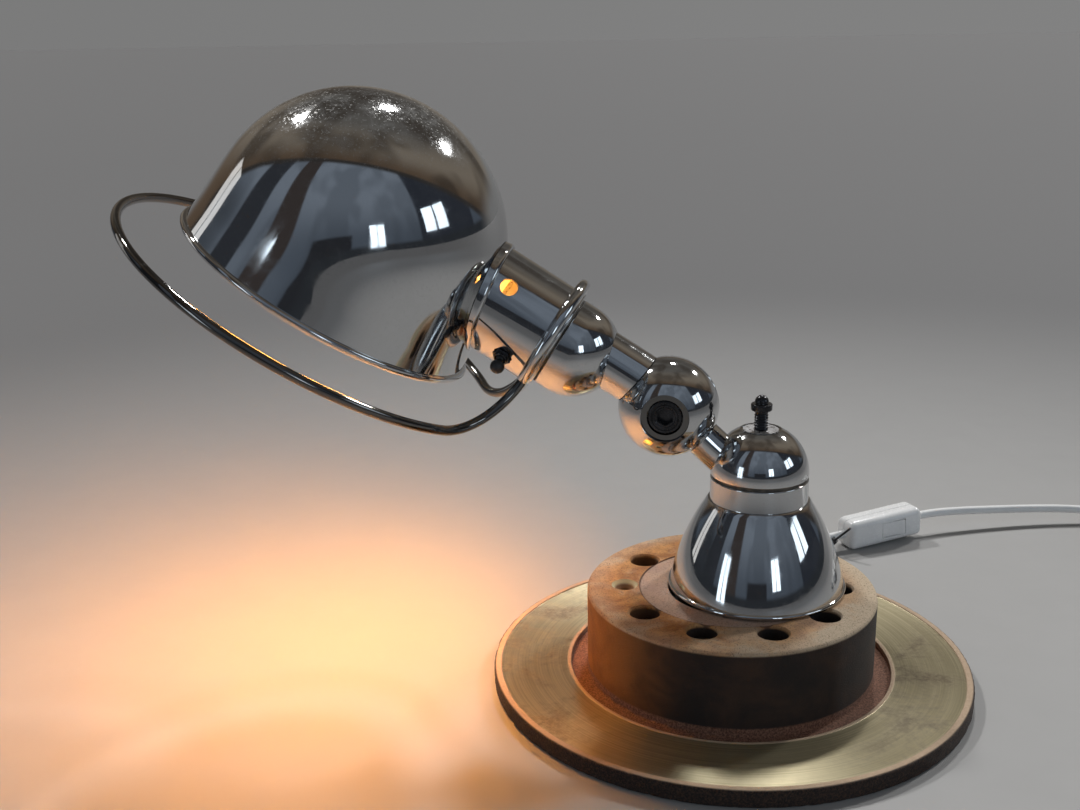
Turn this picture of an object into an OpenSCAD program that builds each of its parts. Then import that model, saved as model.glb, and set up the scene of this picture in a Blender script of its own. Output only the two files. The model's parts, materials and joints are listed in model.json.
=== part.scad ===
// Desk lamp: a chromed head on two swivels and a ball knuckle, standing on a worn brake disc.
// Millimetres, +Z up. The disc's centre stands on the origin and the head points to -X.

/* [Brake disc] */
// Outer diameter of the disc
disc_d = 253; // [235:1:280]
// Thickness of the friction ring at its unworn lip
disc_t = 9; // [7:0.5:13]
// Width of the unworn lip at the disc's edge
lip_w = 4; // [2:0.5:8]
// Depth of wear of the friction face below the lip
wear_h = 0.5; // [0.2:0.1:1.2]
// Outer diameter of the hat
hat_d = 151.6; // [145:0.2:160]
// Height of the hat's top face
hat_h = 50.3; // [44:0.1:60]
// Wall of the hat's side
hat_wall = 7; // [5:0.5:9]
// Thickness of the hat's top
hat_top_t = 7.3; // [5:0.1:9]
// Width of the relief groove between the hat and the friction face
groove_w = 9; // [5:0.5:14]
// Thickness left under the relief groove
groove_floor = 5.5; // [4:0.5:6.5]
// Diameter of the centre bore
bore_d = 65; // [60:0.5:70]
// Diameter of the machined register round the bore
register_d = 96; // [88:1:100]
// Diameter of the circle of bolt holes
bolt_circle_d = 112; // [110:0.5:116]
// Diameter of a wheel bolt hole
bolt_hole_d = 15.5; // [12:0.5:17]
// Diameter of the countersunk locating screw hole
screw_hole_d = 6.6; // [5:0.2:9]
// Diameter of its countersink
countersink_d = 14; // [11:0.5:16]

/* [Bell] */
// Offset of the bell's axis from the disc's centre along X
bell_x = 13.2; // [8:0.1:16]
// Offset of the bell's axis from the disc's centre along Y
bell_y = 6.3; // [0:0.1:9]
// Diameter of the bell's foot
bell_foot_d = 92; // [88:1:98]
// Diameter of the bell where it meets its collar
bell_neck_d = 53; // [51.5:0.5:58]
// Height of the bell from its foot to its collar
bell_h = 48.5; // [44:0.5:56]
// Radius of the bell's curved side
bell_side_r = 125; // [110:5:300]
// Wall of the bell
bell_wall = 2.5; // [1.5:0.1:3.5]
// Diameter of the collar and of the dome that turns on it
collar_d = 50.8; // [48:0.2:51]
// Height of the collar
collar_h = 12; // [10:0.5:18]
// Thickness of the bell's crown inside the collar
crown_t = 9; // [7:0.5:10]
// Diameter of the bell's bead at its foot
foot_bead_d = 2.6; // [1.6:0.2:3.4]

/* [Fixing under the disc] */
// Diameter of the threaded rod below the bell
rod_d = 10; // [8:0.5:11]
// Free space between the bar under the hat and the hat's fillet
bar_free = 1.6; // [1:0.1:4]
// Width of that bar
bar_w = 22; // [18:1:26]
// Thickness of that bar
bar_t = 5; // [4:0.5:7]
// Diameter of the washer under the bar
tie_washer_d = 20; // [19:0.5:22]
// Thickness of that washer
tie_washer_t = 2; // [1.5:0.1:3]
// Size across the flats of the nut
tie_nut_af = 17; // [16:0.5:19]
// Height of the nut
tie_nut_h = 8; // [6:0.5:9]

/* [Swivel] */
// Thickness of the black friction ring between collar and dome
ring_t = 1.5; // [1:0.1:2.5]
// Width of that ring
ring_w = 5.4; // [4:0.2:7]
// Inset of that ring from the collar's edge
ring_inset = 1; // [0.5:0.1:2]
// Height of the dome's straight skirt
cap_skirt_h = 1; // [0.6:0.1:4]
// Wall of the dome
cap_wall = 3; // [2:0.1:4]
// Diameter of the swivel post
post_d = 12; // [11:0.5:13]
// Diameter of the flange that seats the post in the crown
post_flange_d = 24; // [20:0.5:28]
// Thickness of that flange
post_flange_t = 3.5; // [2.5:0.1:5]
// Outer diameter of the bush in the dome
bush_d = 16; // [15:0.2:17]
// Outer diameter of the dome's hub round the bush
hub_d = 21; // [19:0.5:22]
// Diameter of the spot face in the dome's top
spot_d = 20.7; // [18:0.1:22]
// Depth of the spot face below the top of the dome
spot_depth = 3.6; // [3:0.1:5]
// Thickness of the spring washer in the spot face
swivel_spring_t = 1.2; // [0.8:0.1:1.6]

/* [Clamp screw] */
// Diameter of its thread
clamp_thread_d = 6; // [5:0.5:6.5]
// Depth of the thread in the post
clamp_thread_l = 14; // [10:1:18]
// Diameter of its shank
clamp_shank_d = 7.2; // [6.8:0.1:8]
// Length of its shank above the washer
clamp_shank_l = 10; // [8:0.5:14]
// Diameter of its finger collar
clamp_collar_d = 11; // [9:0.5:14]
// Height of its finger collar
clamp_collar_h = 3.5; // [2.5:0.1:5]
// Height of the nub on top
clamp_nub_h = 4.4; // [4:0.2:6]

/* [Knuckle] */
// Distance of the ball from the bell's axis
ball_reach = 47.6; // [45:0.1:56]
// Height of the ball's centre above the dome's centre
ball_rise = 33.5; // [32:0.1:38]
// Diameter of the ball
ball_d = 52.2; // [48:0.2:54]
// Wall of the ball's two halves
ball_wall = 3.5; // [2.5:0.1:5]
// Slope of the stub below the level
stub_slope = 42.4; // [40:0.2:46]
// Diameter of the stub
stub_d = 20; // [17:0.5:22]
// Diameter of the recess in each pole of the ball
recess_d = 24.4; // [20:0.2:26]
// Depth of the recess
recess_h = 2; // [1.5:0.1:4]
// Diameter of the inner recess
seat_d = 18.4; // [18:0.1:19]
// Distance of its floor from the ball's centre
seat_y = 10; // [9:0.2:11]
// Diameter of the hub round the bolt
knuckle_hub_d = 34; // [32:0.5:36]
// Diameter of the friction disc between the halves
friction_d = 30; // [26:0.5:31]
// Thickness of the friction disc
friction_t = 2; // [1.5:0.1:3]
// Diameter of the knuckle bolt
bolt_d = 8; // [7:0.5:9]
// Diameter of the bolt's head
bolt_head_d = 17.4; // [15:0.2:17.6]
// Height of the bolt's head
bolt_head_h = 9.4; // [6:0.2:10]
// Size of the hexagon socket in the bolt's head
bolt_key_af = 8; // [6:0.5:9]
// Thickness of the spring washer under the bolt's head
knuckle_spring_t = 1.2; // [0.8:0.1:1.6]
// Size across the flats of the knuckle nut
knuckle_nut_af = 13; // [12:0.2:14]
// Height of the knuckle nut
knuckle_nut_h = 6.5; // [5:0.5:7]

/* [Head] */
// Angle of the head's axis above the level
head_tilt = 32.1; // [20:0.1:45]
// Roll of the shade's mouth towards the front
head_roll = 5.7; // [-20:0.1:20]
// Distance of the head's axis below the ball's centre
head_drop = 2; // [0:0.1:4]
// Diameter of the neck from the ball to the rear dome
neck_d = 29.4; // [26:0.2:31]
// Distance of the neck's axis above the head's axis
neck_rise = 5.4; // [3:0.1:6]
// Distance of the rear dome's centre from the ball
dome_z = 58; // [56:0.5:64]
// Diameter of the rear dome
dome_d = 50; // [48:0.2:52]
// Straight length of the rear dome
dome_skirt = 7.5; // [7:0.1:12]
// Wall of the rear dome
dome_wall = 2.5; // [2:0.1:3.5]
// Thickness of the plate that closes the rear dome
plate_t = 4; // [3:0.1:5]
// Diameter of the head's pivot
pivot_d = 12; // [10:0.5:14]
// Thickness of the washer between dome and socket
head_washer_t = 0.7; // [0.5:0.1:1.2]
// Thickness of the spring washer behind the plate
head_spring_t = 0.8; // [0.5:0.1:1.2]
// Size across the flats of the pivot's nut
pivot_nut_af = 19; // [17:0.5:22]
// Height of the pivot's nut
pivot_nut_h = 5; // [4:0.5:7]

/* [Socket] */
// Diameter of the socket's shell
socket_d = 55.2; // [53:0.2:57]
// Wall of the socket's shell
socket_wall = 1.8; // [1.2:0.1:2.2]
// Thickness of the socket's back
socket_back_t = 3; // [2:0.1:4]
// Distance of the socket's mouth from the ball
socket_end_z = 106.6; // [106:0.2:112]
// Diameter of a vent hole
vent_d = 9; // [7:0.5:11]
// Number of vent holes
vent_count = 3; // [1:1:3]
// Distance of the vent holes from the ball
vent_z = 101; // [99:0.5:103]
// Diameter of the lampholder
holder_d = 34; // [32.5:0.5:35]
// Distance of the lampholder's mouth from the ball
holder_z = 101; // [99:0.5:103]
// Outer diameter of its screw shell
screw_shell_d = 28.2; // [27.8:0.1:29]
// Wall of its screw shell
screw_shell_wall = 0.6; // [0.4:0.1:0.7]
// Depth of the lampholder's mouth
holder_depth = 24.5; // [23:0.5:26]

/* [Shade] */
// Diameter of the shade's dome
shade_d = 156.4; // [150:0.2:162]
// Sheet thickness of the shade
shade_t = 1.2; // [0.8:0.1:2]
// Distance of the shade's centre below the head's axis
shade_drop = 12.5; // [9:0.1:16]
// Length of the shade's skirt
skirt_l = 32; // [26:0.5:38]
// Flare of the skirt on its radius
skirt_flare = 3.6; // [1:0.1:5]
// Diameter of the rolled bead on the rim
bead_d = 4; // [3:0.2:5]
// Diameter of the flange between shade and socket
flange_d = 60; // [58:0.5:62]
// Diameter of the flange's spigot through the shade
spigot_d = 46; // [45:0.5:47]
// Wall of the spigot
spigot_wall = 2; // [1.5:0.1:2.5]
// Diameter of the ring nut inside the shade
ring_nut_d = 56; // [54:0.5:58]
// Thickness of that nut
ring_nut_t = 4.5; // [3.5:0.1:5.5]

/* [Bulb] */
// Diameter of the bulb
bulb_d = 60; // [50:1:62]
// Length of the bulb with its cap
bulb_l = 104; // [100:1:108]
// Diameter of the bulb's cap
bulb_cap_d = 26.4; // [25.8:0.1:26.8]
// Length of the bulb's cap
bulb_cap_l = 25; // [23:0.5:27]
// Diameter of the bulb's neck
bulb_neck_d = 30; // [28:0.5:32]
// Length of the bulb's straight neck
bulb_neck_l = 12; // [8:0.5:16]
// Wall of the glass
glass_t = 1; // [0.6:0.1:1.5]

/* [Guard] */
// Diameter of the guard's rod
guard_rod_d = 5.2; // [4.4:0.1:6.2]
// Diameter of the rod of its collar
collar_rod_d = 6.4; // [5.6:0.1:7]
// Radius of the guard's loop, to the middle of the rod
guard_r = 110; // [102:0.5:116]
// Distance of the loop's centre beyond the shade's axis
guard_ahead = 1.7; // [-2:0.1:6]
// Distance of the loop's plane below the shade's centre
guard_drop = 44.8; // [42:0.2:54]
// Turn of the guard on the socket against the shade
guard_turn = -0.8; // [-4:0.1:4]
// Distance from the guard's middle at which each leg leaves the loop
leg_y = 56; // [48:1:64]
// Distance from the guard's middle at which each leg meets the collar
leg_top_y = 22; // [18:0.5:25]
// Distance of the guard's collar from the ball
guard_collar_z = 70.5; // [70:0.1:74]

/* [Lamp switch] */
// Distance of the toggle from the ball
toggle_z = 86; // [84:0.5:89]
// Angle of the toggle from the mouth's side towards the front
toggle_turn = 48; // [30:1:60]
// Angle of the lever at rest
lever_rest = 10; // [6:1:12]
// Diameter of the toggle's bush
toggle_bush_d = 7.4; // [7:0.2:8]
// Height of the bush above the shell
toggle_bush_h = 2.8; // [2.4:0.2:3.4]
// Diameter of the lever's round end
lever_end_d = 7.4; // [5.5:0.2:8]
// Length of the lever from its pivot
lever_l = 9.6; // [9:0.2:12]

/* [Cord] */
// Diameter of the cord
cord_d = 5.5; // [4.5:0.1:6]
// Length of the strain relief outside the bell
relief_l = 28; // [22:1:34]
// Diameter of the strain relief's flange
relief_flange_d = 14; // [12:0.5:16]
// Diameter of the strain relief in the bell's wall
relief_d = 9.6; // [8:0.2:10]
// Height at which the cord leaves the bell
relief_z = 60; // [58:0.5:64]
// Direction in which the cord leaves the bell, from +X towards +Y
relief_turn = 95; // [85:1:105]
// Turns of the put-away coil in each of its two layers
coil_turns = 3.375; // [2.375:1:4.375]
// Free gap between neighbouring turns
coil_gap = 0.7; // [0.5:0.1:1.5]
// Diameter of the coil at the middle of its turns
coil_mid_d = 64; // [60:1:70]

/* [Cord switch] */
// Length of the cord switch
switch_l = 57; // [52:1:60]
// Height of the cord switch as it lies on its side
switch_w = 19.5; // [17:0.5:22]
// Thickness of the cord switch
switch_h = 19; // [18:0.5:22]
// Distance of the parting line from the switch's back
switch_part_z = 9.5; // [9:0.5:10.5]
// Length of the rocker
rocker_l = 18; // [15:0.5:21]
// Width of the rocker
rocker_w = 10; // [8:0.5:11]
// Distance of the rocker from the switch's middle
rocker_x = 5; // [-8:0.5:8]
// Depth of the rocker's pivot below the switch's face
rocker_depth = 4.4; // [4:0.1:5]
// Diameter of the rocker's pivot pins
rocker_pin_d = 2.4; // [2:0.2:3]
// Angle of the rocker at rest
rocker_rest = -7; // [-8:0.5:-5]

/* [Plug] */
// Width of the plug
plug_w = 35.3; // [33:0.1:37]
// Thickness of the plug
plug_t = 13.7; // [12.5:0.1:15]
// Length of the plug's body
plug_l = 36; // [32:0.5:40]
// Diameter of a plug pin
pin_d = 4; // [3.8:0.1:4.8]
// Free length of a plug pin
pin_l = 19; // [17:0.5:20]
// Distance between the pins
pin_pitch = 18.6; // [17.5:0.1:19.2]
// Diameter of a pin's insulated stretch next to the plug
pin_sleeve_d = 3.7; // [3.4:0.1:3.75]
// Length of a pin's insulated stretch
pin_sleeve_l = 10; // [9:0.5:11]

/* [Fits] */
// Radial clearance of a shaft that turns in its bore
run_fit = 0.06; // [0.03:0.01:0.1]
// Clearance between pieces that are fixed to each other
seat_fit = 0.05; // [0.02:0.01:0.1]
// Clearance of the shade's sheet to the flange and its spigot
sheet_fit = 0.2; // [0.1:0.05:0.4]
// Clearance between faces that move past each other
face_gap = 0.15; // [0.1:0.05:0.4]
// Clearance of the ball's sweep to the neck and stub
sweep_gap = 0.4; // [0.3:0.05:0.8]

/* [Hidden] */
$fn = 96;

// Disc
disc_r = disc_d / 2;
hat_r = hat_d / 2;
hat_in_r = hat_r - hat_wall;
groove_r = hat_r + groove_w;
bore_r = bore_d / 2;
edge_chamfer = 1.2;
hat_chamfer = 1.6;
register_h = 0.5;
inner_fillet = 4;
bolt_places = 10;
first_bolt_angle = 150;
screw_place = 1;
hat_under_z = hat_h - hat_top_t;
countersink_h = (countersink_d - screw_hole_d) / 2;

// Bell
bell_top_z = hat_h + bell_h;
collar_top_z = bell_top_z + collar_h;
collar_r = collar_d / 2;
foot_r = bell_foot_d / 2;
bell_neck_r = bell_neck_d / 2;
chord = [bell_neck_r - foot_r, bell_h];
side_inset = sqrt(pow(bell_side_r, 2) - pow(norm(chord) / 2, 2));
side_centre = [foot_r, hat_h] + chord / 2 + [-chord[1], chord[0]] / norm(chord) * side_inset;
wire_hole_d = 7;

// Fixing
bar_l = 2 * (hat_in_r - inner_fillet - bell_x - bar_free);
bar_z = hat_under_z - bar_t;
tie_washer_z = bar_z - tie_washer_t;
tie_nut_z = tie_washer_z - tie_nut_h;
rod_end_z = tie_nut_z - 2;

// Swivel
cap_z = collar_top_z + ring_t + face_gap;
cap_centre_z = cap_z + cap_skirt_h;
cap_top_z = cap_centre_z + collar_r;
spot_z = cap_top_z - spot_depth;
post_r = post_d / 2;
post_top_z = spot_z - 0.4;
clamp_seat_z = spot_z + swivel_spring_t + face_gap;
clamp_collar_z = clamp_seat_z + clamp_shank_l;
clamp_top_z = clamp_collar_z + clamp_collar_h + clamp_nub_h;

// Knuckle
ball_r = ball_d / 2;
ball_z = cap_centre_z + ball_rise;
seam = 0.3;
recess_y = sqrt(pow(ball_r, 2) - pow(recess_d / 2, 2)) - recess_h;
bolt_head_y = seat_y + knuckle_spring_t;
bolt_end_y = seat_y + knuckle_nut_h + 1.5;

// Head
dome_end_z = dome_z + dome_skirt;
socket_z = dome_end_z + face_gap + head_washer_t;
socket_floor_z = socket_z + socket_back_t;
socket_r = socket_d / 2;
socket_in_r = socket_r - socket_wall;
pivot_flange_d = 20;
pivot_flange_t = 3;
pivot_nut_z = dome_end_z - plate_t - head_spring_t - face_gap - pivot_nut_h;

// Shade
shade_r = shade_d / 2;
shade_in_r = shade_r - shade_t;
flange_lean = asin(shade_drop / shade_r);
flange_r = flange_d / 2;
flange_face = shade_r - 1;
shade_z = socket_end_z + flange_face * cos(flange_lean);
spigot_r = spigot_d / 2;
ring_nut_top = sqrt(pow(shade_in_r, 2) - pow(ring_nut_d / 2, 2)) - 0.4;
ring_nut_z = ring_nut_top - ring_nut_t;
rim_r = shade_r + skirt_flare;
first_vent_angle = 300;

// Lampholder and bulb
holder_floor_z = holder_z - holder_depth;
contact_t = 0.6;
contact_nub_h = 1.4;
bulb_tip_z = holder_floor_z + contact_t + contact_nub_h + seat_fit;
bulb_cap_end_z = bulb_tip_z + bulb_cap_l;
bulb_r = bulb_d / 2;
bulb_centre_z = bulb_tip_z + bulb_l - bulb_r;
bulb_glass_z = bulb_cap_end_z + seat_fit;

// Guard
guard_rod_r = guard_rod_d / 2;
collar_rod_r = collar_rod_d / 2;
guard_x = -(shade_drop + guard_drop);
guard_centre_z = shade_z + guard_ahead;
guard_collar_r = socket_r + 0.2 + collar_rod_r;
leg_angle = asin(leg_y / guard_r);

// Toggle
toggle_hole_r = toggle_bush_d / 2 + 0.1;
lever_pivot_r = socket_r + 1.4;
lever_pin_d = 1.4;
lever_pin_l = toggle_bush_d - 1.8;

// Cord, in the part's frame
cord_r = cord_d / 2;
tie_fit = 0.3;
tie_t = 1.2;
tie_w = 3;
pin_hold = 8;
switch_end_wall = 9;
flange_band_l = 9;
flange_round = 2;
spigot_lap = 0.4;
relief_dz = relief_z - hat_h;
relief_r = side_centre[0] + sqrt(pow(bell_side_r, 2) - pow(relief_z - side_centre[1], 2));
relief_lean = asin((relief_z - side_centre[1]) / bell_side_r);
relief_dir = [cos(relief_turn) * cos(relief_lean), sin(relief_turn) * cos(relief_lean), sin(relief_lean)];
relief_foot = [bell_x + relief_r * cos(relief_turn), bell_y + relief_r * sin(relief_turn), relief_z];
relief_tip = relief_foot + relief_dir * relief_l;
switch_turn = 32.5;
switch_rise = 3;
switch_in = [68.5, 182, switch_w / 2];
switch_dir = [cos(switch_turn) * cos(switch_rise), sin(switch_turn) * cos(switch_rise), sin(switch_rise)];
switch_out = switch_in + switch_dir * switch_l;
lead_points = [[9, 96, 68], [13, 108, 61], [18, 120, 50], [23, 132, 38], [29, 143, 27],
    [36, 153, 18], [44, 162, 12], [52, 170.5, 9.4], [60, 176.5, 9.3]];
run_points = [[124, 217.5, 13], [134.5, 223, 12.9], [145, 227.5, 12.5], [154, 231, 12.2],
    [162.5, 234, 11.8], [171, 237, 11.4], [180, 240, 11], [188.5, 242.6, 10.7], [197, 245, 10.4],
    [205.5, 247.1, 10.1], [214, 249, 9.8], [222, 250.4, 9.5], [231, 251.6, 9], [245, 253, 7.8],
    [258, 253.8, 6.2], [269, 254, 4.6]];

// Coil
coil_pitch = cord_d + coil_gap;
coil_outer = coil_mid_d / 2 + coil_turns * coil_pitch / 2;
coil_inner = coil_outer - coil_turns * coil_pitch;
coil_lift = 1;
coil_start = [284, 254];
coil_centre = coil_start - [0, coil_outer];
coil_z = coil_lift + cord_r;
coil_rings = 24;
climb_turns = 0.5;
climb_dip = 1.8;
tail_l = 34;
plug_z = plug_t / 2;

// Frames of the lamp's moving groups

module at_bell() translate([bell_x, bell_y, 0]) children();

module at_ball() at_bell() translate([-ball_reach, 0, ball_z]) children();

// Origin level with the ball on the head's axis, z along the head, x away from the mouth
module at_head() at_ball() rotate([0, head_tilt - 90, 0]) translate([-head_drop, 0, 0]) children();

module at_socket() at_head() rotate([0, 0, head_roll]) children();

// Shade's centre, with z along the shade's axis away from its mouth
module at_shade() at_socket() translate([-shade_drop, 0, shade_z]) rotate([0, 90, 0]) children();

// Shade's centre, with z towards the place where the head's axis enters the shade
module at_flange() at_socket() translate([-shade_drop, 0, shade_z])
    rotate([0, 180 - flange_lean, 0]) children();

// Toggle's place on the socket, with z outwards from the head's axis
module at_toggle() at_socket() translate([0, 0, toggle_z])
    rotate([0, 0, 180 + toggle_turn]) rotate([0, 90, 0]) children();

// Middle of the cord switch's back, with x along the cord and z towards its rocker
module at_switch() translate(switch_in) rotate([0, -switch_rise, switch_turn])
    translate([switch_l / 2, 0, 0]) rotate([90, 0, 0]) translate([0, 0, -switch_part_z]) children();

// Turns z to point along a direction
module point_along(v) rotate([0, acos(v[2] / norm(v)), atan2(v[1], v[0])]) children();

module at_plug() translate([coil_centre[0] + coil_outer, coil_centre[1] - tail_l, plug_z])
    rotate([0, 0, -90]) children();

// Shared shapes

module tube(outer, inner, h) difference() {
    cylinder(r = outer, h = h);
    translate([0, 0, -1]) cylinder(r = inner, h = h + 2);
}

module hex_nut(af, inner, h) difference() {
    cylinder(d = af / cos(30), h = h, $fn = 6);
    translate([0, 0, -1]) cylinder(r = inner, h = h + 2);
}

module rounded_plate(l, w, r, h) {
    translate([-l / 2 + r, -w / 2, 0]) cube([l - 2 * r, w, h]);
    translate([-l / 2, -w / 2 + r, 0]) cube([l, w - 2 * r, h]);
    for (x = [-1, 1], y = [-1, 1]) translate([x * (l / 2 - r), y * (w / 2 - r), 0]) cylinder(r = r, h = h);
}

module ring_rod(radius, rod, angle = 360) rotate_extrude(angle = angle)
    translate([radius, 0]) circle(r = rod);

// Base

module disc_profile() polygon([
    [hat_in_r, 0], [disc_r - edge_chamfer, 0], [disc_r, edge_chamfer], [disc_r, disc_t - edge_chamfer],
    [disc_r - edge_chamfer, disc_t], [disc_r - lip_w, disc_t], [disc_r - lip_w, disc_t - wear_h],
    [groove_r, disc_t - wear_h], [groove_r, groove_floor], [hat_r + edge_chamfer, groove_floor],
    [hat_r, groove_floor + edge_chamfer], [hat_r, hat_h - hat_chamfer], [hat_r - hat_chamfer, hat_h],
    [register_d / 2, hat_h], [register_d / 2, hat_h - register_h],
    [bore_r + edge_chamfer, hat_h - register_h], [bore_r, hat_h - register_h - edge_chamfer],
    [bore_r, hat_under_z],
    [hat_in_r - inner_fillet, hat_under_z], [hat_in_r, hat_under_z - inner_fillet]]);

module brake_disc() color("sienna") difference() {
    rotate_extrude() disc_profile();
    for (i = [0 : bolt_places - 1]) rotate([0, 0, first_bolt_angle + i * 360 / bolt_places])
        translate([bolt_circle_d / 2, 0, hat_under_z - 1]) {
            cylinder(d = i == screw_place ? screw_hole_d : bolt_hole_d, h = hat_top_t + 2);
            if (i == screw_place) translate([0, 0, hat_top_t + 1 - countersink_h])
                cylinder(d1 = screw_hole_d, d2 = countersink_d + 2, h = countersink_h + 1);
        }
}

module bell_side(inset) intersection() {
    translate(side_centre) circle(r = bell_side_r - inset, $fn = 360);
    translate([0, hat_h]) square([foot_r + 2, bell_h]);
}

module bell_profile() {
    difference() {
        bell_side(0);
        bell_side(bell_wall);
    }
    translate([foot_r - foot_bead_d / 4, hat_h + foot_bead_d / 2]) circle(d = foot_bead_d);
    difference() {
        translate([0, bell_top_z - 1]) square([collar_r, collar_h + 1]);
        translate([0, bell_top_z - 2]) square([collar_r - bell_wall, collar_h + 2 - crown_t]);
    }
}

module bell() color("silver") difference() {
    at_bell() rotate_extrude() bell_profile();
    at_bell() translate([0, 0, bell_top_z]) cylinder(d = rod_d + 2 * seat_fit, h = collar_h + 1);
    at_bell() translate([0, 0, collar_top_z - post_flange_t])
        cylinder(d = post_flange_d + 2 * seat_fit, h = post_flange_t + 1);
    at_bell() translate([0, (post_flange_d + wire_hole_d) / 2 + 1, bell_top_z])
        cylinder(d = wire_hole_d, h = 2 * collar_h);
    at_relief() translate([0, 0, -relief_d]) cylinder(d = relief_d + 2 * seat_fit, h = 2 * relief_d);
}

module centre_post() color("dimgray") at_bell() difference() {
    union() {
        translate([0, 0, rod_end_z]) cylinder(d = rod_d, h = collar_top_z - rod_end_z);
        translate([0, 0, collar_top_z - post_flange_t]) cylinder(d = post_flange_d, h = post_flange_t);
        translate([0, 0, collar_top_z - 1]) cylinder(r = post_r, h = post_top_z - collar_top_z + 1);
    }
    translate([0, 0, post_top_z - clamp_thread_l])
        cylinder(d = clamp_thread_d + 2 * run_fit, h = clamp_thread_l + 1);
}

module clamp_bar() color("gray") at_bell() translate([0, 0, bar_z]) difference() {
    rounded_plate(bar_l, bar_w, 3, bar_t);
    translate([0, 0, -1]) cylinder(d = rod_d + 2 * seat_fit, h = bar_t + 2);
}

module tie_washer() color("lightgray") at_bell() translate([0, 0, tie_washer_z])
    tube(tie_washer_d / 2, rod_d / 2 + seat_fit, tie_washer_t);

module tie_nut() color("gray") at_bell() translate([0, 0, tie_nut_z])
    hex_nut(tie_nut_af, rod_d / 2 + seat_fit, tie_nut_h);

module friction_ring() color([0.05, 0.05, 0.05]) at_bell() translate([0, 0, collar_top_z])
    tube(collar_r - ring_inset, collar_r - ring_inset - ring_w, ring_t);

// Swivel dome

module cap_half(r) {
    intersection() {
        translate([0, cap_centre_z]) circle(r = r);
        translate([0, cap_centre_z]) square([r, r]);
    }
    translate([0, cap_z]) square([r, cap_skirt_h]);
}

module cap_profile() difference() {
    cap_half(collar_r);
    difference() {
        cap_half(collar_r - cap_wall);
        translate([0, cap_z - 1]) square([hub_d / 2, collar_r + cap_skirt_h + 2]);
    }
    translate([0, spot_z]) square([spot_d / 2, spot_depth + 1]);
    translate([0, cap_z - 1]) square([bush_d / 2 + seat_fit, collar_r + cap_skirt_h]);
}

module swivel_cap() color("silver") at_bell() rotate_extrude() cap_profile();

module swivel_bush() color("goldenrod") at_bell() translate([0, 0, cap_z])
    tube(bush_d / 2, post_r + run_fit, spot_z - cap_z);

module swivel_spring() color("gray") at_bell() translate([0, 0, spot_z])
    tube(spot_d / 2 - 1.2, clamp_thread_d / 2 + 0.2, swivel_spring_t);

module clamp_profile() {
    translate([0, post_top_z - clamp_thread_l + 2])
        square([clamp_thread_d / 2, clamp_seat_z - post_top_z + clamp_thread_l - 1.5]);
    translate([0, clamp_seat_z]) square([clamp_shank_d / 2, clamp_shank_l + 0.5]);
    translate([0, clamp_collar_z]) polygon([
        [0, 0], [clamp_collar_d / 2 - 0.8, 0], [clamp_collar_d / 2, 0.8],
        [clamp_collar_d / 2, clamp_collar_h - 0.8], [clamp_collar_d / 2 - 0.8, clamp_collar_h],
        [0, clamp_collar_h]]);
    nub_r = clamp_shank_d / 2;
    translate([0, clamp_collar_z + clamp_collar_h - 0.5]) square([nub_r, clamp_nub_h + 0.5 - nub_r]);
    translate([0, clamp_top_z - nub_r]) intersection() {
        circle(r = nub_r);
        square(nub_r);
    }
}

module clamp_screw() color("dimgray") at_bell() rotate_extrude() clamp_profile();

// Knuckle

// Half space on one side of the ball's seam, side -1 in front and 1 behind
module half_space(side, from) translate([-2 * ball_d, side < 0 ? -4 * ball_d - from : from, -2 * ball_d])
    cube(4 * ball_d);

module along_y(side) rotate([-90 * side, 0, 0]) children();

module ball_half(side) difference() {
    intersection() {
        sphere(r = ball_r);
        half_space(side, seam / 2);
    }
    difference() {
        sphere(r = ball_r - ball_wall);
        along_y(1) translate([0, 0, -ball_r]) cylinder(d = knuckle_hub_d, h = 2 * ball_r);
    }
    along_y(side) {
        translate([0, 0, recess_y]) cylinder(d = recess_d, h = ball_r);
        translate([0, 0, seat_y]) cylinder(d = seat_d, h = ball_r);
        cylinder(r = friction_d / 2 + 0.3, h = friction_t / 2 + face_gap);
        translate([0, 0, -1]) cylinder(r = bolt_d / 2 + run_fit, h = ball_r);
    }
}

// Arm on a ball half: clear of the other half's sweep, and coped to the dome that it is brazed to
module ball_arm(side) difference() {
    children(0);
    sphere(r = ball_r - 1);
    intersection() {
        sphere(r = ball_r + sweep_gap);
        half_space(-side, -seam / 2);
    }
    children(1);
}

module knuckle_front() color("silver") at_ball() {
    ball_half(-1);
    ball_arm(-1) {
        rotate([0, 90 + stub_slope, 0]) cylinder(d = stub_d, h = ball_reach);
        translate([ball_reach, 0, -ball_rise]) {
            sphere(r = collar_r + seat_fit);
            translate([0, 0, -ball_reach]) cylinder(r = collar_r + seat_fit, h = ball_reach);
            translate([-5, -ball_r, -ball_reach]) cube([ball_r, ball_d, 2 * ball_reach]);
        }
    }
}

module knuckle_rear() color("silver") at_ball() {
    ball_half(1);
    rotate([0, head_tilt - 90, 0]) ball_arm(1) {
        translate([neck_rise - head_drop, 0, 0]) cylinder(d = neck_d, h = dome_z);
        translate([-head_drop, 0, dome_z]) sphere(r = dome_d / 2 + seat_fit);
    }
}

module knuckle_disc() color("saddlebrown") at_ball() along_y(1) translate([0, 0, -friction_t / 2])
    tube(friction_d / 2, bolt_d / 2 + 0.2, friction_t);

module knuckle_bolt() color("dimgray") at_ball() along_y(-1) difference() {
    union() {
        translate([0, 0, -bolt_end_y]) cylinder(d = bolt_d, h = bolt_end_y + bolt_head_y + 1);
        translate([0, 0, bolt_head_y]) cylinder(d = bolt_head_d, h = bolt_head_h);
    }
    translate([0, 0, bolt_head_y + bolt_head_h / 2])
        cylinder(d = bolt_key_af / cos(30), h = bolt_head_h, $fn = 6);
}

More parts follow.
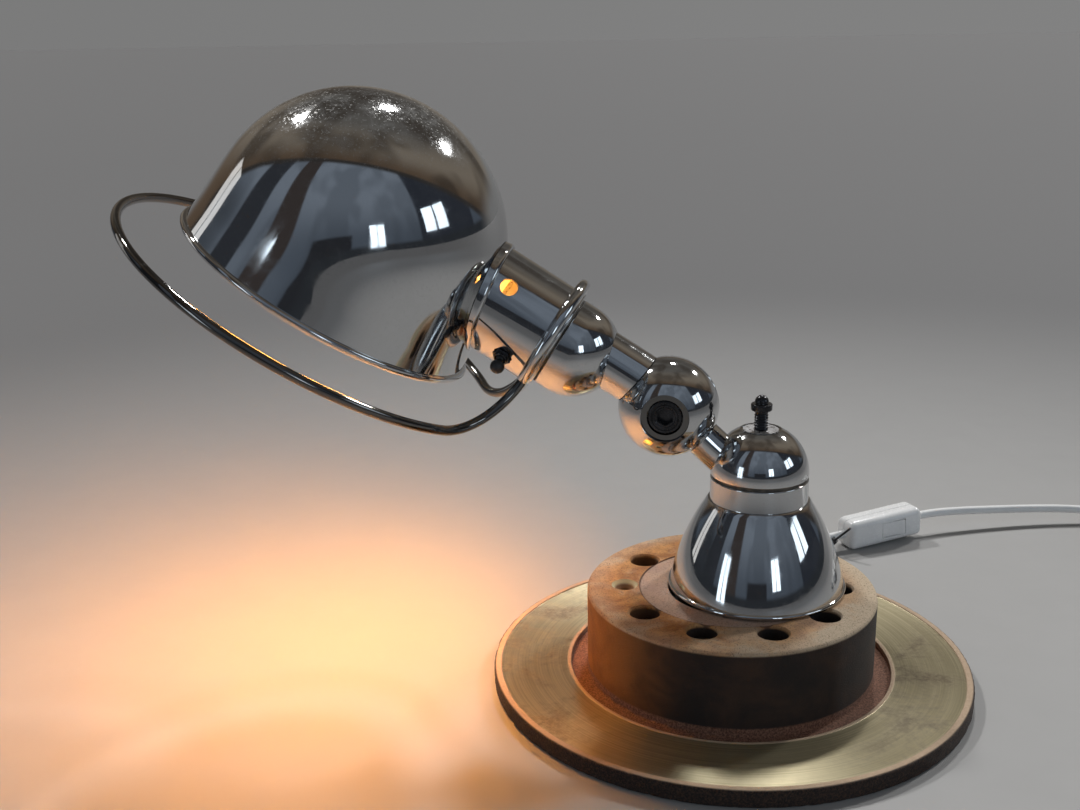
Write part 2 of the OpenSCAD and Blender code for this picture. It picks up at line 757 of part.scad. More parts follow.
module knuckle_spring() color("gray") at_ball() along_y(-1) translate([0, 0, seat_y])
    tube(bolt_head_d / 2, bolt_d / 2 + 0.2, knuckle_spring_t);

module knuckle_nut() color("gray") at_ball() along_y(1) translate([0, 0, seat_y + face_gap])
    hex_nut(knuckle_nut_af, bolt_d / 2 + seat_fit, knuckle_nut_h);

// Head pivot

module dome_half(r) {
    intersection() {
        translate([0, dome_z]) circle(r = r);
        translate([0, dome_z - r]) square([r, r]);
    }
    translate([0, dome_z]) square([r, dome_skirt]);
}

module rear_dome() color("silver") at_head() difference() {
    rotate_extrude() difference() {
        dome_half(dome_d / 2);
        dome_half(dome_d / 2 - dome_wall);
    }
    translate([neck_rise, 0, 0]) cylinder(d = wire_hole_d, h = dome_z);
}

module dome_plate() color("gray") at_head() translate([0, 0, dome_end_z - plate_t])
    tube(dome_d / 2 - dome_wall - seat_fit, pivot_d / 2 + run_fit, plate_t);

module head_pivot() color("dimgray") at_socket() {
    translate([0, 0, pivot_nut_z - 1.5]) cylinder(d = pivot_d, h = socket_floor_z - pivot_nut_z + 2);
    translate([0, 0, socket_floor_z]) cylinder(d = pivot_flange_d, h = pivot_flange_t);
}

module head_spring() color("gray") at_socket() translate([0, 0, pivot_nut_z + pivot_nut_h])
    tube(pivot_nut_af / 2, pivot_d / 2 + seat_fit, head_spring_t);

module pivot_nut() color("gray") at_socket() translate([0, 0, pivot_nut_z])
    hex_nut(pivot_nut_af, pivot_d / 2 + seat_fit, pivot_nut_h);

module head_washer() color([0.05, 0.05, 0.05]) at_socket() translate([0, 0, dome_end_z + face_gap])
    tube(dome_d / 2 - 0.6, pivot_d / 2 + seat_fit, head_washer_t);

// Socket and shade

module socket_shell() color("silver") difference() {
    at_socket() difference() {
        translate([0, 0, socket_z]) cylinder(r = socket_r, h = shade_z - socket_z - shade_r / 2);
        translate([0, 0, socket_floor_z]) cylinder(r = socket_in_r, h = shade_z);
        translate([0, 0, socket_z - 1]) cylinder(d = pivot_d + 2 * seat_fit, h = socket_back_t + 2);
        for (i = [0 : vent_count - 1]) rotate([0, 0, first_vent_angle - i * 120]) translate([0, 0, vent_z])
            rotate([0, 90, 0]) cylinder(d = vent_d, h = socket_d);
    }
    at_flange() translate([0, 0, flange_face + seat_fit - shade_d]) cylinder(r = shade_r, h = shade_d);
    at_toggle() cylinder(r = toggle_hole_r, h = socket_d);
}

module flange_profile() {
    difference() {
        union() {
            translate([spigot_r - spigot_wall, flange_face - flange_band_l])
                square([flange_r - spigot_r + spigot_wall - flange_round, flange_band_l]);
            translate([flange_r - flange_round, flange_face - flange_round]) circle(r = flange_round);
            translate([flange_r - 2 * flange_round, flange_face - flange_band_l])
                square([2 * flange_round, flange_band_l - flange_round]);
        }
        circle(r = shade_r + sheet_fit, $fn = 360);
    }
}

module shade_flange() color("silver") {
    difference() {
        at_flange() rotate_extrude() flange_profile();
        at_shade() shade_form(-sheet_fit);
    }
    at_flange() translate([0, 0, ring_nut_z - 1])
        tube(spigot_r, spigot_r - spigot_wall, flange_face - spigot_lap - ring_nut_z + 1);
}

// Half a ball over a flared skirt
module shade_form(inset) {
    r = shade_r - inset;
    intersection() {
        sphere(r = r);
        translate([-2 * r, -2 * r, 0]) cube(4 * r);
    }
    translate([0, 0, -skirt_l]) cylinder(r1 = rim_r - inset, r2 = r, h = skirt_l);
}

module shade() color("silver") difference() {
    at_shade() {
        difference() {
            shade_form(0);
            shade_form(shade_t);
        }
        translate([0, 0, -skirt_l]) ring_rod(rim_r, bead_d / 2);
    }
    at_flange() translate([0, 0, shade_r / 2]) cylinder(r = spigot_r + sheet_fit, h = shade_r);
}

module shade_nut() color("lightgray") at_flange() translate([0, 0, ring_nut_z])
    tube(ring_nut_d / 2, spigot_r + seat_fit, ring_nut_t);

// Lampholder and bulb

module lampholder() color("ivory") at_socket() difference() {
    translate([0, 0, socket_floor_z]) cylinder(d = holder_d, h = holder_z - socket_floor_z);
    translate([0, 0, holder_floor_z]) cylinder(d = screw_shell_d + 2 * seat_fit, h = holder_depth + 1);
    translate([0, 0, socket_floor_z - 1])
        cylinder(d = pivot_flange_d + 2 * seat_fit, h = pivot_flange_t + 1 + seat_fit);
}

module screw_shell() color("goldenrod") at_socket() translate([0, 0, holder_floor_z + contact_t + 2])
    tube(screw_shell_d / 2, screw_shell_d / 2 - screw_shell_wall, holder_depth - contact_t - 2);

module centre_contact() color("goldenrod") at_socket() translate([0, 0, holder_floor_z]) {
    cylinder(d = bulb_cap_d / 2, h = contact_t);
    cylinder(d = 5, h = contact_t + contact_nub_h);
}

module bulb_cap() color("lightgray") at_socket() translate([0, 0, bulb_tip_z]) difference() {
    union() {
        cylinder(d1 = 9, d2 = bulb_cap_d - 5, h = 4);
        translate([0, 0, 4]) cylinder(d1 = bulb_cap_d - 5, d2 = bulb_cap_d, h = 2);
        translate([0, 0, 6]) cylinder(d = bulb_cap_d, h = bulb_cap_l - 6);
    }
    translate([0, 0, 7]) cylinder(d = bulb_cap_d - 2, h = bulb_cap_l);
}

// A round end and the cone from the neck that touches it
module bulb_form(inset) {
    r = bulb_r - inset;
    a = bulb_neck_d / 2 - inset;
    d = bulb_centre_z - bulb_glass_z - bulb_neck_l;
    // Angle at the round end's centre between the axis towards the cap and the touching radius
    t = atan2(a, d) + acos(r / norm([a, d]));
    intersection() {
        translate([0, bulb_centre_z]) circle(r = r);
        translate([0, bulb_centre_z - r * cos(t)]) square([r, 2 * r]);
    }
    polygon([[0, bulb_glass_z], [a, bulb_glass_z], [a, bulb_glass_z + bulb_neck_l],
        [r * sin(t), bulb_centre_z - r * cos(t)], [0, bulb_centre_z - r * cos(t)]]);
}

module bulb_glass() color([1, 0.95, 0.85]) at_socket() rotate_extrude() difference() {
    bulb_form(0);
    bulb_form(glass_t);
}

// Guard: a loop of rod whose two legs are welded to the collar round the socket

module leg_arc(side) {
    start = [guard_x, side * leg_y, guard_centre_z - guard_r * cos(leg_angle)];
    end = [-sqrt(pow(guard_collar_r, 2) - pow(leg_top_y, 2)), side * leg_top_y, guard_collar_z];
    along = [0, -side * cos(leg_angle), -sin(leg_angle)];
    reach = end - start;
    turn = acos(along * reach / norm(reach));
    bend = norm(reach) / 2 / sin(turn);
    inwards = (reach / norm(reach) - along * cos(turn)) / sin(turn);
    up = cross(along, inwards);
    centre = start + inwards * bend;
    multmatrix([[-inwards[0], along[0], -up[0], centre[0]],
        [-inwards[1], along[1], -up[1], centre[1]],
        [-inwards[2], along[2], -up[2], centre[2]],
        [0, 0, 0, 1]])
        ring_rod(bend, guard_rod_r, 2 * turn);
    translate(start) sphere(r = guard_rod_r + 0.08);
}

module guard() color("silver") at_socket() rotate([0, 0, guard_turn]) {
    translate([guard_x, 0, guard_centre_z]) rotate([0, 90, 0]) rotate([0, 0, leg_angle])
        ring_rod(guard_r, guard_rod_r, 360 - 2 * leg_angle);
    for (side = [-1, 1]) leg_arc(side);
    translate([0, 0, guard_collar_z]) ring_rod(guard_collar_r, collar_rod_r);
}

// Lamp switch

module toggle_case() color([0.1, 0.1, 0.1]) at_toggle() {
    case_top = socket_in_r - 0.8;
    translate([-6.5, -4.5, holder_d / 2 + 0.4]) cube([13, 9, case_top - holder_d / 2 - 0.4]);
}

module toggle_bush() color([0.15, 0.15, 0.15]) at_toggle() difference() {
    union() {
        translate([0, 0, socket_in_r - 0.8])
            cylinder(d = toggle_bush_d, h = socket_wall + 0.8 + toggle_bush_h);
        translate([0, 0, socket_r + 0.1]) cylinder(d = toggle_bush_d + 3, h = 1.6, $fn = 6);
    }
    translate([0, 0, socket_in_r]) cylinder(d = toggle_bush_d - 1.4, h = socket_d);
}

module toggle_lever() color([0.03, 0.03, 0.03]) at_toggle() translate([0, 0, lever_pivot_r])
    rotate([0, lever_rest, 0]) {
        sphere(d = toggle_bush_d - 2.2);
        rotate([90, 0, 0]) translate([0, 0, -lever_pin_l / 2]) cylinder(d = lever_pin_d, h = lever_pin_l);
        cylinder(d1 = 3, d2 = 4, h = lever_l - lever_end_d / 2);
        translate([0, 0, lever_l - lever_end_d / 2]) sphere(d = lever_end_d);
    }

// Cord

module at_relief() translate(relief_foot)
    rotate([0, 0, relief_turn]) rotate([0, 90 - relief_lean, 0]) children();

module strain_relief() color("white") at_relief() {
    translate([0, 0, -bell_wall - 1]) cylinder(d = relief_d, h = bell_wall + 2);
    translate([0, 0, -bell_wall - 2.6]) cylinder(d = relief_d + 2.4, h = 1.8);
    translate([0, 0, 0.5]) cylinder(d = relief_flange_d, h = 2.5);
    translate([0, 0, 2]) cylinder(d1 = relief_d + 1, d2 = cord_d + 2, h = relief_l - 2);
}

// Unit vector
function unit(v) = v / norm(v);

// Direction of a route at point i
function heading(p, i) = unit(p[min(i + 1, len(p) - 1)] - p[max(i - 1, 0)]);

// Tube of a given radius along a route, its rings square to the route
module route_tube(p, r, sides, first, last) {
    n = len(p);
    dirs = [for (i = [0 : n - 1]) i == 0 ? first : i == n - 1 ? last : heading(p, i)];
    rings = [for (i = [0 : n - 1]) let (a = unit(cross([0, 0, 1], dirs[i])), b = cross(dirs[i], a))
        for (k = [0 : sides - 1]) p[i] + r * (cos(360 * k / sides) * a + sin(360 * k / sides) * b)];
    walls = [for (i = [0 : n - 2], k = [0 : sides - 1]) let (m = (k + 1) % sides, o = i * sides)
        each [[o + k, o + sides + m, o + m], [o + k, o + sides + k, o + sides + m]]];
    ends = [for (k = [1 : sides - 2]) each [[0, k, k + 1], [n * sides - sides, n * sides - sides + k + 1,
        n * sides - sides + k]]];
    polyhedron(points = rings, faces = concat(walls, ends));
}

module cord_lead() color("white") route_tube(
    concat([relief_tip, relief_tip + relief_dir * cord_d], lead_points, [switch_in]),
    cord_r, 10, relief_dir, switch_dir);

module cord_run() color("white") route_tube(
    concat([switch_out], run_points, [coil_path[0]]), cord_r, 10, switch_dir, [1, 0, 0]);

// Coil: winds inwards on the table, climbs inside half a turn, winds outwards on top, then runs to the plug
total_turns = 2 * coil_turns + climb_turns;
function coil_at(t) =
    let (climb = min(max((t - coil_turns) / climb_turns, 0), 1),
        wound = t < coil_turns ? t : coil_turns - max(t - coil_turns - climb_turns, 0),
        r = coil_outer - wound * coil_pitch - climb_dip * sin(180 * climb),
        a = 90 - 360 * t)
    [coil_centre[0] + r * cos(a), coil_centre[1] + r * sin(a),
        coil_z + coil_pitch * (1 - cos(180 * climb)) / 2];
coil_steps = ceil(total_turns * coil_rings);
coil_turn_points = [for (i = [0 : coil_steps]) coil_at(total_turns * i / coil_steps)];
tail_points = [for (s = [0.35, 0.6, 0.84, 1]) [coil_centre[0] + coil_outer, coil_centre[1] - tail_l * s,
    plug_z + (coil_z + coil_pitch - plug_z) * (1 - min(s / 0.84, 1))]];
coil_path = concat([coil_turn_points[0] - [cord_d, 0, 0]], coil_turn_points, tail_points);

// Least distance between stretches of the coil that aren't neighbours along it, less the cord's diameter
coil_free = min([for (i = [0 : 2 : coil_steps], j = [i + coil_rings / 2 : 1 : coil_steps])
    norm(coil_turn_points[i] - coil_turn_points[j])]) - cord_d;
echo(coil_least_gap = coil_free);

module cord_coil() color("white") route_tube(coil_path, cord_r, 6, [1, 0, 0], [0, -1, 0]);

module coil_tie() color([0.1, 0.1, 0.1])
    translate([coil_centre[0], coil_centre[1], 0]) rotate([0, 0, 215]) {
    inner_w = coil_outer - coil_inner + cord_d + 2 * climb_dip + coil_gap;
    inner_h = coil_pitch + cord_d + 0.6;
    translate([(coil_outer + coil_inner) / 2, 0, inner_h / 2 + 0.7])
        rotate([90, 0, 0]) translate([0, 0, -3]) difference() {
            rounded_plate(inner_w + 1.4, inner_h + 1.4, 3, 6);
            translate([0, 0, -1]) rounded_plate(inner_w, inner_h, 2.4, 8);
        }
}

// Cord switch

// Round-edged box of the switch, its thickness along z
module switch_form() intersection() {
    rounded_plate(switch_l, switch_w, 5, switch_h);
    translate([-switch_l / 2, 0, switch_h / 2]) rotate([90, 0, 90])
        rounded_plate(switch_w, switch_h, 6, switch_l);
}

module switch_hollow() {
    window_l = rocker_l + 0.8;
    window_w = rocker_w + 0.8;
    translate([switch_end_wall - switch_l / 2, -window_w / 2, 2.5])
        cube([switch_l - 2 * switch_end_wall, window_w, switch_h - 6]);
    translate([rocker_x - window_l / 2, -window_w / 2, switch_h / 2]) cube([window_l, window_w, switch_h]);
    at_rocker() rotate([90, 0, 0]) translate([0, 0, -rocker_w / 2 - 2])
        cylinder(d = rocker_pin_d + 2 * run_fit, h = rocker_w + 4);
}

module at_rocker() translate([rocker_x, 0, switch_h - rocker_depth]) children();

module switch_base() color("white") at_switch() difference() {
    switch_form();
    switch_hollow();
    translate([-switch_l, -switch_w, switch_part_z - seat_fit / 2])
        cube([2 * switch_l, 2 * switch_w, switch_h]);
}

module switch_cover() color("white") at_switch() difference() {
    switch_form();
    switch_hollow();
    translate([-switch_l, -switch_w, switch_part_z + seat_fit / 2 - switch_h])
        cube([2 * switch_l, 2 * switch_w, switch_h]);
}

module switch_rocker() color("white") at_switch() at_rocker()
    rotate([0, rocker_rest, 0]) rotate([90, 0, 0]) {
    translate([0, 0, -rocker_w / 2]) linear_extrude(rocker_w)
        polygon([[0.6 - rocker_l / 2, 1], [0.6 - rocker_l / 2, 5.4], [0, 4.2], [rocker_l / 2 - 0.6, 5.4],
            [rocker_l / 2 - 0.6, 1], [3, -3], [-3, -3]]);
    translate([0, 0, -rocker_w / 2 - 1.5]) cylinder(d = rocker_pin_d, h = rocker_w + 3);
}

// Black tie round the cord where it comes to the switch, its cut tail standing up in front
module cord_tie() color([0.05, 0.05, 0.05]) {
    from = lead_points[len(lead_points) - 2];
    to = lead_points[len(lead_points) - 1];
    tail = [10.5, -3, 11];
    head = (from + to) / 2 + [4.9, -4.9, 0];
    translate((from + to) / 2) point_along(to - from) translate([0, 0, -tie_w / 2])
        tube(cord_r + tie_fit + tie_t, cord_r + tie_fit, tie_w);
    translate(head) point_along(tail) {
        translate([-2, -2, -2.5]) cube([4, 4, 5]);
        translate([-0.6, -1.3, 0]) cube([1.2, 2.6, norm(tail)]);
    }
}

// Plug

module plug_outline() polygon([
    [0, -5], [10, -6.5], [plug_l - 6, -plug_w / 2], [plug_l, -plug_w / 2],
    [plug_l, plug_w / 2], [plug_l - 6, plug_w / 2], [10, 6.5], [0, 5]]);

module plug_body() color("white") at_plug() difference() {
    intersection() {
        translate([0, 0, -plug_t / 2]) linear_extrude(plug_t) plug_outline();
        rotate([0, 90, 0]) cylinder(r = plug_w / 2, h = plug_l);
    }
    for (y = [-1, 1]) translate([plug_l - pin_hold, y * pin_pitch / 2, 0]) rotate([0, 90, 0])
        cylinder(r = pin_sleeve_d / 2 + seat_fit, h = pin_hold + 1);
}

module plug_pins() color("lightgray") at_plug() for (y = [-1, 1])
    translate([plug_l, y * pin_pitch / 2, 0]) rotate([0, 90, 0]) {
        translate([0, 0, seat_fit - pin_hold])
            cylinder(d = pin_sleeve_d, h = pin_hold - seat_fit + pin_sleeve_l);
        translate([0, 0, pin_sleeve_l]) cylinder(d = pin_d, h = pin_l - pin_sleeve_l - pin_d / 4);
        translate([0, 0, pin_l - pin_d / 4]) cylinder(d1 = pin_d, d2 = pin_d / 2, h = pin_d / 4);
    }

brake_disc();
bell();
centre_post();
clamp_bar();
tie_washer();
tie_nut();
friction_ring();
swivel_cap();
swivel_bush();
swivel_spring();
clamp_screw();
knuckle_front();
knuckle_rear();
knuckle_disc();
knuckle_bolt();
knuckle_spring();
knuckle_nut();
rear_dome();
dome_plate();
head_pivot();
head_spring();
pivot_nut();
head_washer();
socket_shell();
shade_flange();
shade();
shade_nut();
guard();
lampholder();
screw_shell();
centre_contact();
bulb_cap();
bulb_glass();
toggle_case();
toggle_bush();
toggle_lever();
strain_relief();
cord_lead();
cord_tie();
switch_base();
switch_cover();
switch_rocker();
cord_run();
cord_coil();
coil_tie();
plug_body();
plug_pins();
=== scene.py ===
# %% [markdown]
# # A desk lamp on a worn brake disc
# The lamp has a chromed head on two swivels and a ball knuckle, and it stands on an old brake disc.
# The CAD model gives every size and joint, so this lesson only dresses it: each visible piece is turned,
# bent or bevelled again with a fine mesh, because a mirror finish shows the smallest flat facet.

import json
import math

import bmesh
import bpy
from mathutils import Matrix, Vector, noise


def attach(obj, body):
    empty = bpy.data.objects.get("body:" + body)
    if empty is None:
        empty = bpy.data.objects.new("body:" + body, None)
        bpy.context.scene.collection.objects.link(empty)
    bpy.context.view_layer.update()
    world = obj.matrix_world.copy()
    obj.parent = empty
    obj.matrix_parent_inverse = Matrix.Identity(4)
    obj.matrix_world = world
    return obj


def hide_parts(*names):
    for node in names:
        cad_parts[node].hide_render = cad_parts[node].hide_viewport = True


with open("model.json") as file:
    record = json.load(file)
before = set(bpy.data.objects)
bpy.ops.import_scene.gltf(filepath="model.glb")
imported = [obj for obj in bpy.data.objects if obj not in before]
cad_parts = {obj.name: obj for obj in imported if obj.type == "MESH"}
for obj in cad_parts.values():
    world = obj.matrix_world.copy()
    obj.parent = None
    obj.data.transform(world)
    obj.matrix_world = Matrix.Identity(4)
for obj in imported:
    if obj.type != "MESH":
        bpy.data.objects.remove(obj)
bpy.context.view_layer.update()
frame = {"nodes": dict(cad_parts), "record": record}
solids = frame["nodes"]

# %% [markdown]
# ## Places
# The real lamp is a chain: disc, bell, ball, neck, socket, shade. Each place below is a matrix in
# millimetres, built from the one before it, so a piece is drawn upright at its own origin and put in
# place by one matrix. Parents would do the same, but then the objects leave the origin, and a pattern on
# Object coordinates would slide over them. So the last matrix, METRES, scales the finished mesh, and the
# object stays at the origin.


# %% Places along the chain
def shift(x, y, z):
    return Matrix.Translation((x, y, z))


def turn(degrees, axis):
    return Matrix.Rotation(math.radians(degrees), 4, axis)


METRES = Matrix.Scale(0.001, 4)
HERE = Matrix.Identity(4)
UP = Vector((0, 0, 1))
BELL = shift(13.2, 6.3, 0)
BALL = shift(-34.4, 6.3, 146.95)
HEAD_LEAN, HEAD_TURN = 32.1, 5.7
HEAD = BALL @ turn(HEAD_LEAN - 90, "Y") @ shift(-2, 0, 0)
SOCKET = HEAD @ turn(HEAD_TURN, "Z")
SHADE_R, SHADE_DROP, FLANGE_Z = 78.2, 12.5, 106.6
FLANGE_LEAN = math.degrees(math.asin(SHADE_DROP / SHADE_R))
SHADE_Z = FLANGE_Z + (SHADE_R - 1) * math.cos(math.radians(FLANGE_LEAN))
SHADE_MIDDLE = SOCKET @ shift(-SHADE_DROP, 0, SHADE_Z)
SHADE = SHADE_MIDDLE @ turn(90, "Y")
FLANGE = SHADE_MIDDLE @ turn(180 - FLANGE_LEAN, "Y")
TOGGLE_UP, TOGGLE_AT = 86, 228
TOGGLE = SOCKET @ shift(0, 0, TOGGLE_UP) @ turn(TOGGLE_AT, "Z") @ turn(90, "Y")
print("shade centre", [round(x, 1) for x in SHADE.translation])

# %% [markdown]
# ## Camera
# The photograph was taken from in front and a little above, with the lens turned by about one degree. A
# camera could be set by eye, but the disc's edges are circles, and fitting their ellipses in the picture
# of 1080 by 810 pixels gave this place and focal length.

# %% Camera
CAMERA_AT, CAMERA_TURN = (0.0175, -0.62234, 0.33496), (-10.78, 16.53, -1.08)
SENSOR_MM, FOCAL_MM = 36.0, 42.09
yaw, pitch, roll = (math.radians(a) for a in CAMERA_TURN)
right = Vector((math.cos(yaw), -math.sin(yaw), 0))
ahead = Vector((math.sin(yaw) * math.cos(pitch), math.cos(yaw) * math.cos(pitch), -math.sin(pitch)))
over = right.cross(ahead)
camera_right = right * math.cos(roll) + over * math.sin(roll)
camera_up = over * math.cos(roll) - right * math.sin(roll)
camera = bpy.data.objects.new("camera", bpy.data.cameras.new("camera"))
bpy.context.scene.collection.objects.link(camera)
facing = Matrix((camera_right, camera_up, -ahead)).transposed().to_4x4()
camera.matrix_world = shift(*CAMERA_AT) @ facing
camera.data.sensor_width = SENSOR_MM
camera.data.lens = FOCAL_MM
camera.data.clip_start = 0.01
bpy.context.scene.camera = camera
print("camera at", [round(x, 3) for x in camera.matrix_world.translation])

# %% [markdown]
# ## Making pieces
# Most of the lamp was turned on a lathe or spun from sheet, so most pieces here are a profile that bmesh
# spins round its axis. A profile is a list of (radius, height) points, and arcs have enough points to
# look round in a mirror finish. A Subdivision Surface could round a coarse mesh too, but it would also
# soften the crisp edges of turned metal. Holes and saddle joints are cut afterwards with a tool that was
# spun in the same way.


# %% Outlines
def arc(centre, radius, start, end, step=3.0):
    """Points on an arc, with the angles in degrees."""
    count = max(2, math.ceil(abs(end - start) / step))
    angles = [math.radians(start + (end - start) * k / count) for k in range(count + 1)]
    return [(centre[0] + radius * math.cos(a), centre[1] + radius * math.sin(a)) for a in angles]


def rounded(corners, step=15.0):
    """A closed outline from corners (radius, height, fillet), with an arc at each fillet."""
    outline = []
    for i, (r, z, fillet) in enumerate(corners):
        here = Vector((r, z))
        if not fillet:
            outline.append((r, z))
            continue
        back = (Vector(corners[i - 1][:2]) - here).normalized()
        onward = (Vector(corners[(i + 1) % len(corners)][:2]) - here).normalized()
        half = back.angle(onward) / 2
        centre = here + (back + onward).normalized() * (fillet / math.sin(half))
        first = here + back * (fillet / math.tan(half)) - centre
        last = here + onward * (fillet / math.tan(half)) - centre
        start = math.degrees(math.atan2(first.y, first.x))
        sweep = (math.degrees(math.atan2(last.y, last.x)) - start + 180) % 360 - 180
        outline += arc(centre, fillet, start, start + sweep, step)
    return outline


# %% Turned pieces
CREASE = 28.0


def lathe(outline, steps=160, closed=True):
    """A bmesh spun from an outline round Z. An open outline starts and ends on the axis."""
    bm = bmesh.new()
    points = [bm.verts.new((r, 0, z)) for r, z in outline]
    pairs = list(zip(points, points[1:])) + ([(points[-1], points[0])] if closed else [])
    wires = [bm.edges.new(pair) for pair in pairs]
    bmesh.ops.spin(
        bm, geom=points + wires, cent=(0, 0, 0), axis=(0, 0, 1), dvec=(0, 0, 0),
        angle=math.tau, steps=steps, use_merge=True, use_duplicate=False,
    )
    bmesh.ops.remove_doubles(bm, verts=bm.verts, dist=1e-4)
    bmesh.ops.recalc_face_normals(bm, faces=bm.faces)
    return bm


# %% Pieces in their places
def smooth(mesh, crease=CREASE):
    """Smooth shading, with edges sharper than the crease kept sharp."""
    mesh.shade_smooth()
    mesh.set_sharp_from_angle(angle=math.radians(crease))


def as_piece(bm, name, place=HERE, crease=CREASE):
    """An object at the origin, with the bmesh's millimetres put in place and turned into metres."""
    bmesh.ops.transform(bm, matrix=METRES @ place, verts=bm.verts)
    mesh = bpy.data.meshes.new(name)
    bm.to_mesh(mesh)
    bm.free()
    smooth(mesh, crease)
    piece = bpy.data.objects.new(name, mesh)
    bpy.context.scene.collection.objects.link(piece)
    return piece


def spun(name, place, outline, steps=160, closed=True):
    """A turned piece, put in its place."""
    return as_piece(lathe(outline, steps, closed), name, place)


# %% Cutting
def carve(piece, tool, crease=CREASE):
    """Cuts the tool out of the piece and removes the tool."""
    cut = piece.modifiers.new("cut", "BOOLEAN")
    cut.operation = "DIFFERENCE"
    cut.solver = "EXACT"
    cut.object = tool
    shape = piece.evaluated_get(bpy.context.evaluated_depsgraph_get())
    mesh = bpy.data.meshes.new_from_object(shape)
    piece.modifiers.clear()
    piece.data = mesh
    mesh.name = piece.name
    bpy.data.objects.remove(tool)
    smooth(mesh, crease)
    return piece


def drill(piece, name, place, radius, length, steps=64):
    """Drills a round hole along Z from a place."""
    outline = [(0, 0), (radius, 0), (radius, length), (0, length)]
    return carve(piece, spun(name, place, outline, steps, closed=False))


# %% [markdown]
# ## Shader helpers
# A node tree written call by call is hard to read, so `put` adds one node and fills its sockets: a value
# is set, and another node's output is linked. The helpers after it name the few nodes that every finish
# here needs.


# %% Shader helpers: nodes
def put(tree, kind, sockets=None, out=0, **settings):
    made = tree.nodes.new(kind)
    for name, value in settings.items():
        setattr(made, name, value)
    for name, value in (sockets or {}).items():
        if isinstance(value, bpy.types.NodeSocket):
            tree.links.new(value, made.inputs[name])
        else:
            made.inputs[name].default_value = value
    return made.outputs[out]


def join(tree, node, **values):
    """Links values to a node's sockets; an underscore stands for a space."""
    for label, value in values.items():
        tree.links.new(value, node.inputs[label.replace("_", " ")])


# %% Shader helpers: noise and arithmetic
def noise_at(tree, vector, scale, detail=4.0, roughness=0.55, distortion=0.0):
    return put(tree, "ShaderNodeTexNoise", {
        "Vector": vector, "Scale": scale, "Detail": detail, "Roughness": roughness, "Distortion": distortion,
    })


def sums(tree, operation, *values):
    return put(tree, "ShaderNodeMath", dict(enumerate(values)), operation=operation)


def times(tree, first, *others):
    """The product of masks and numbers."""
    for other in others:
        first = sums(tree, "MULTIPLY", first, other)
    return first


def gauge(tree, operation, *vectors):
    """A number taken from vectors, such as a length or a dot product."""
    return put(tree, "ShaderNodeVectorMath", dict(enumerate(vectors)), out="Value", operation=operation)


# %% Shader helpers: masks and colours
def band(tree, value, low, high, to_low=0.0, to_high=1.0):
    """A soft step from to_low to to_high as the value goes from low to high."""
    return put(tree, "ShaderNodeMapRange", {
        "Value": value, "From Min": low, "From Max": high, "To Min": to_low, "To Max": to_high,
    }, interpolation_type="SMOOTHSTEP")


def blend(tree, factor, first, second):
    """Mixes two colours, each given as a socket or as three numbers."""
    first, second = ((*tone, 1.0) if isinstance(tone, tuple) else tone for tone in (first, second))
    return put(tree, "ShaderNodeMix", {0: factor, 6: first, 7: second}, out=2, data_type="RGBA")


def shades(tree, mask, low, high, first, second):
    """A colour that goes from the first to the second as a mask goes from low to high."""
    return blend(tree, band(tree, mask, low, high), first, second)


# %% Shader helpers: groups and finishes
def new_group(name, inputs, outputs):
    """An empty shader group with a vector and named numbers in, and named numbers out."""
    tree = bpy.data.node_groups.new(name, "ShaderNodeTree")
    tree.interface.new_socket("Vector", in_out="INPUT", socket_type="NodeSocketVector")
    for way, labels in (("INPUT", inputs), ("OUTPUT", outputs)):
        for label in labels:
            tree.interface.new_socket(label, in_out=way, socket_type="NodeSocketFloat")
    return tree, tree.nodes.new("NodeGroupInput").outputs, tree.nodes.new("NodeGroupOutput")


def use_group(tree, group, **sockets):
    """Places a group and gives its outputs; an underscore stands for a space."""
    named = {label.replace("_", " "): value for label, value in sockets.items()}
    return put(tree, "ShaderNodeGroup", named, node_tree=group).node.outputs


def new_finish(name, **constants):
    """A material with a Principled shader, its constant sockets set, and its Object coordinates."""
    finish = bpy.data.materials.new(name)
    finish.use_nodes = True
    tree = finish.node_tree
    shader = next(n for n in tree.nodes if n.type == "BSDF_PRINCIPLED")
    for label, value in constants.items():
        shader.inputs[label.replace("_", " ")].default_value = value
    vector = put(tree, "ShaderNodeTexCoord", out="Object")
    return finish, tree, shader, vector


def bump(tree, shader, height, strength, distance):
    raised = put(tree, "ShaderNodeBump", {"Height": height, "Strength": strength, "Distance": distance})
    join(tree, shader, Normal=raised)


# %% [markdown]
# ## Chrome plate
# Chrome on an old lamp is a mirror with three faults: a faint haze from wiping, small pits and specks of
# dust, and a slow wave in the metal under it. One low roughness all over would look too perfect, so a
# group makes all three, and each chromed piece sets how much of them it has.

# %% Plating group
MIRROR_ROUGH, SPECK_ROUGH = 0.035, 0.35
plating, into, out_of = new_group(
    "plating", ("Dust", "Speck Size", "Haze"), ("Specks", "Roughness", "Height")
)
fine = noise_at(plating, into["Vector"], into["Speck Size"], 2.0, 0.6)
patches = noise_at(plating, into["Vector"], 28.0, 3.0, 0.6)
gathered = times(plating, into["Dust"], band(plating, patches, 0.36, 0.66, 0.35, 1.0))
clouds = noise_at(plating, into["Vector"], 110.0, 4.0, 0.7, 0.6)
film = times(plating, band(plating, clouds, 0.42, 0.66, 0.0, 0.34), gathered)
specks = sums(plating, "MAXIMUM", times(plating, band(plating, fine, 0.57, 0.68), gathered), film)
wipes = noise_at(plating, into["Vector"], 60.0, 5.0, 0.65, 1.2)
haze = times(plating, into["Haze"], band(plating, wipes, 0.4, 0.75))
rough = sums(plating, "ADD", sums(plating, "ADD", MIRROR_ROUGH, haze), times(plating, specks, SPECK_ROUGH))
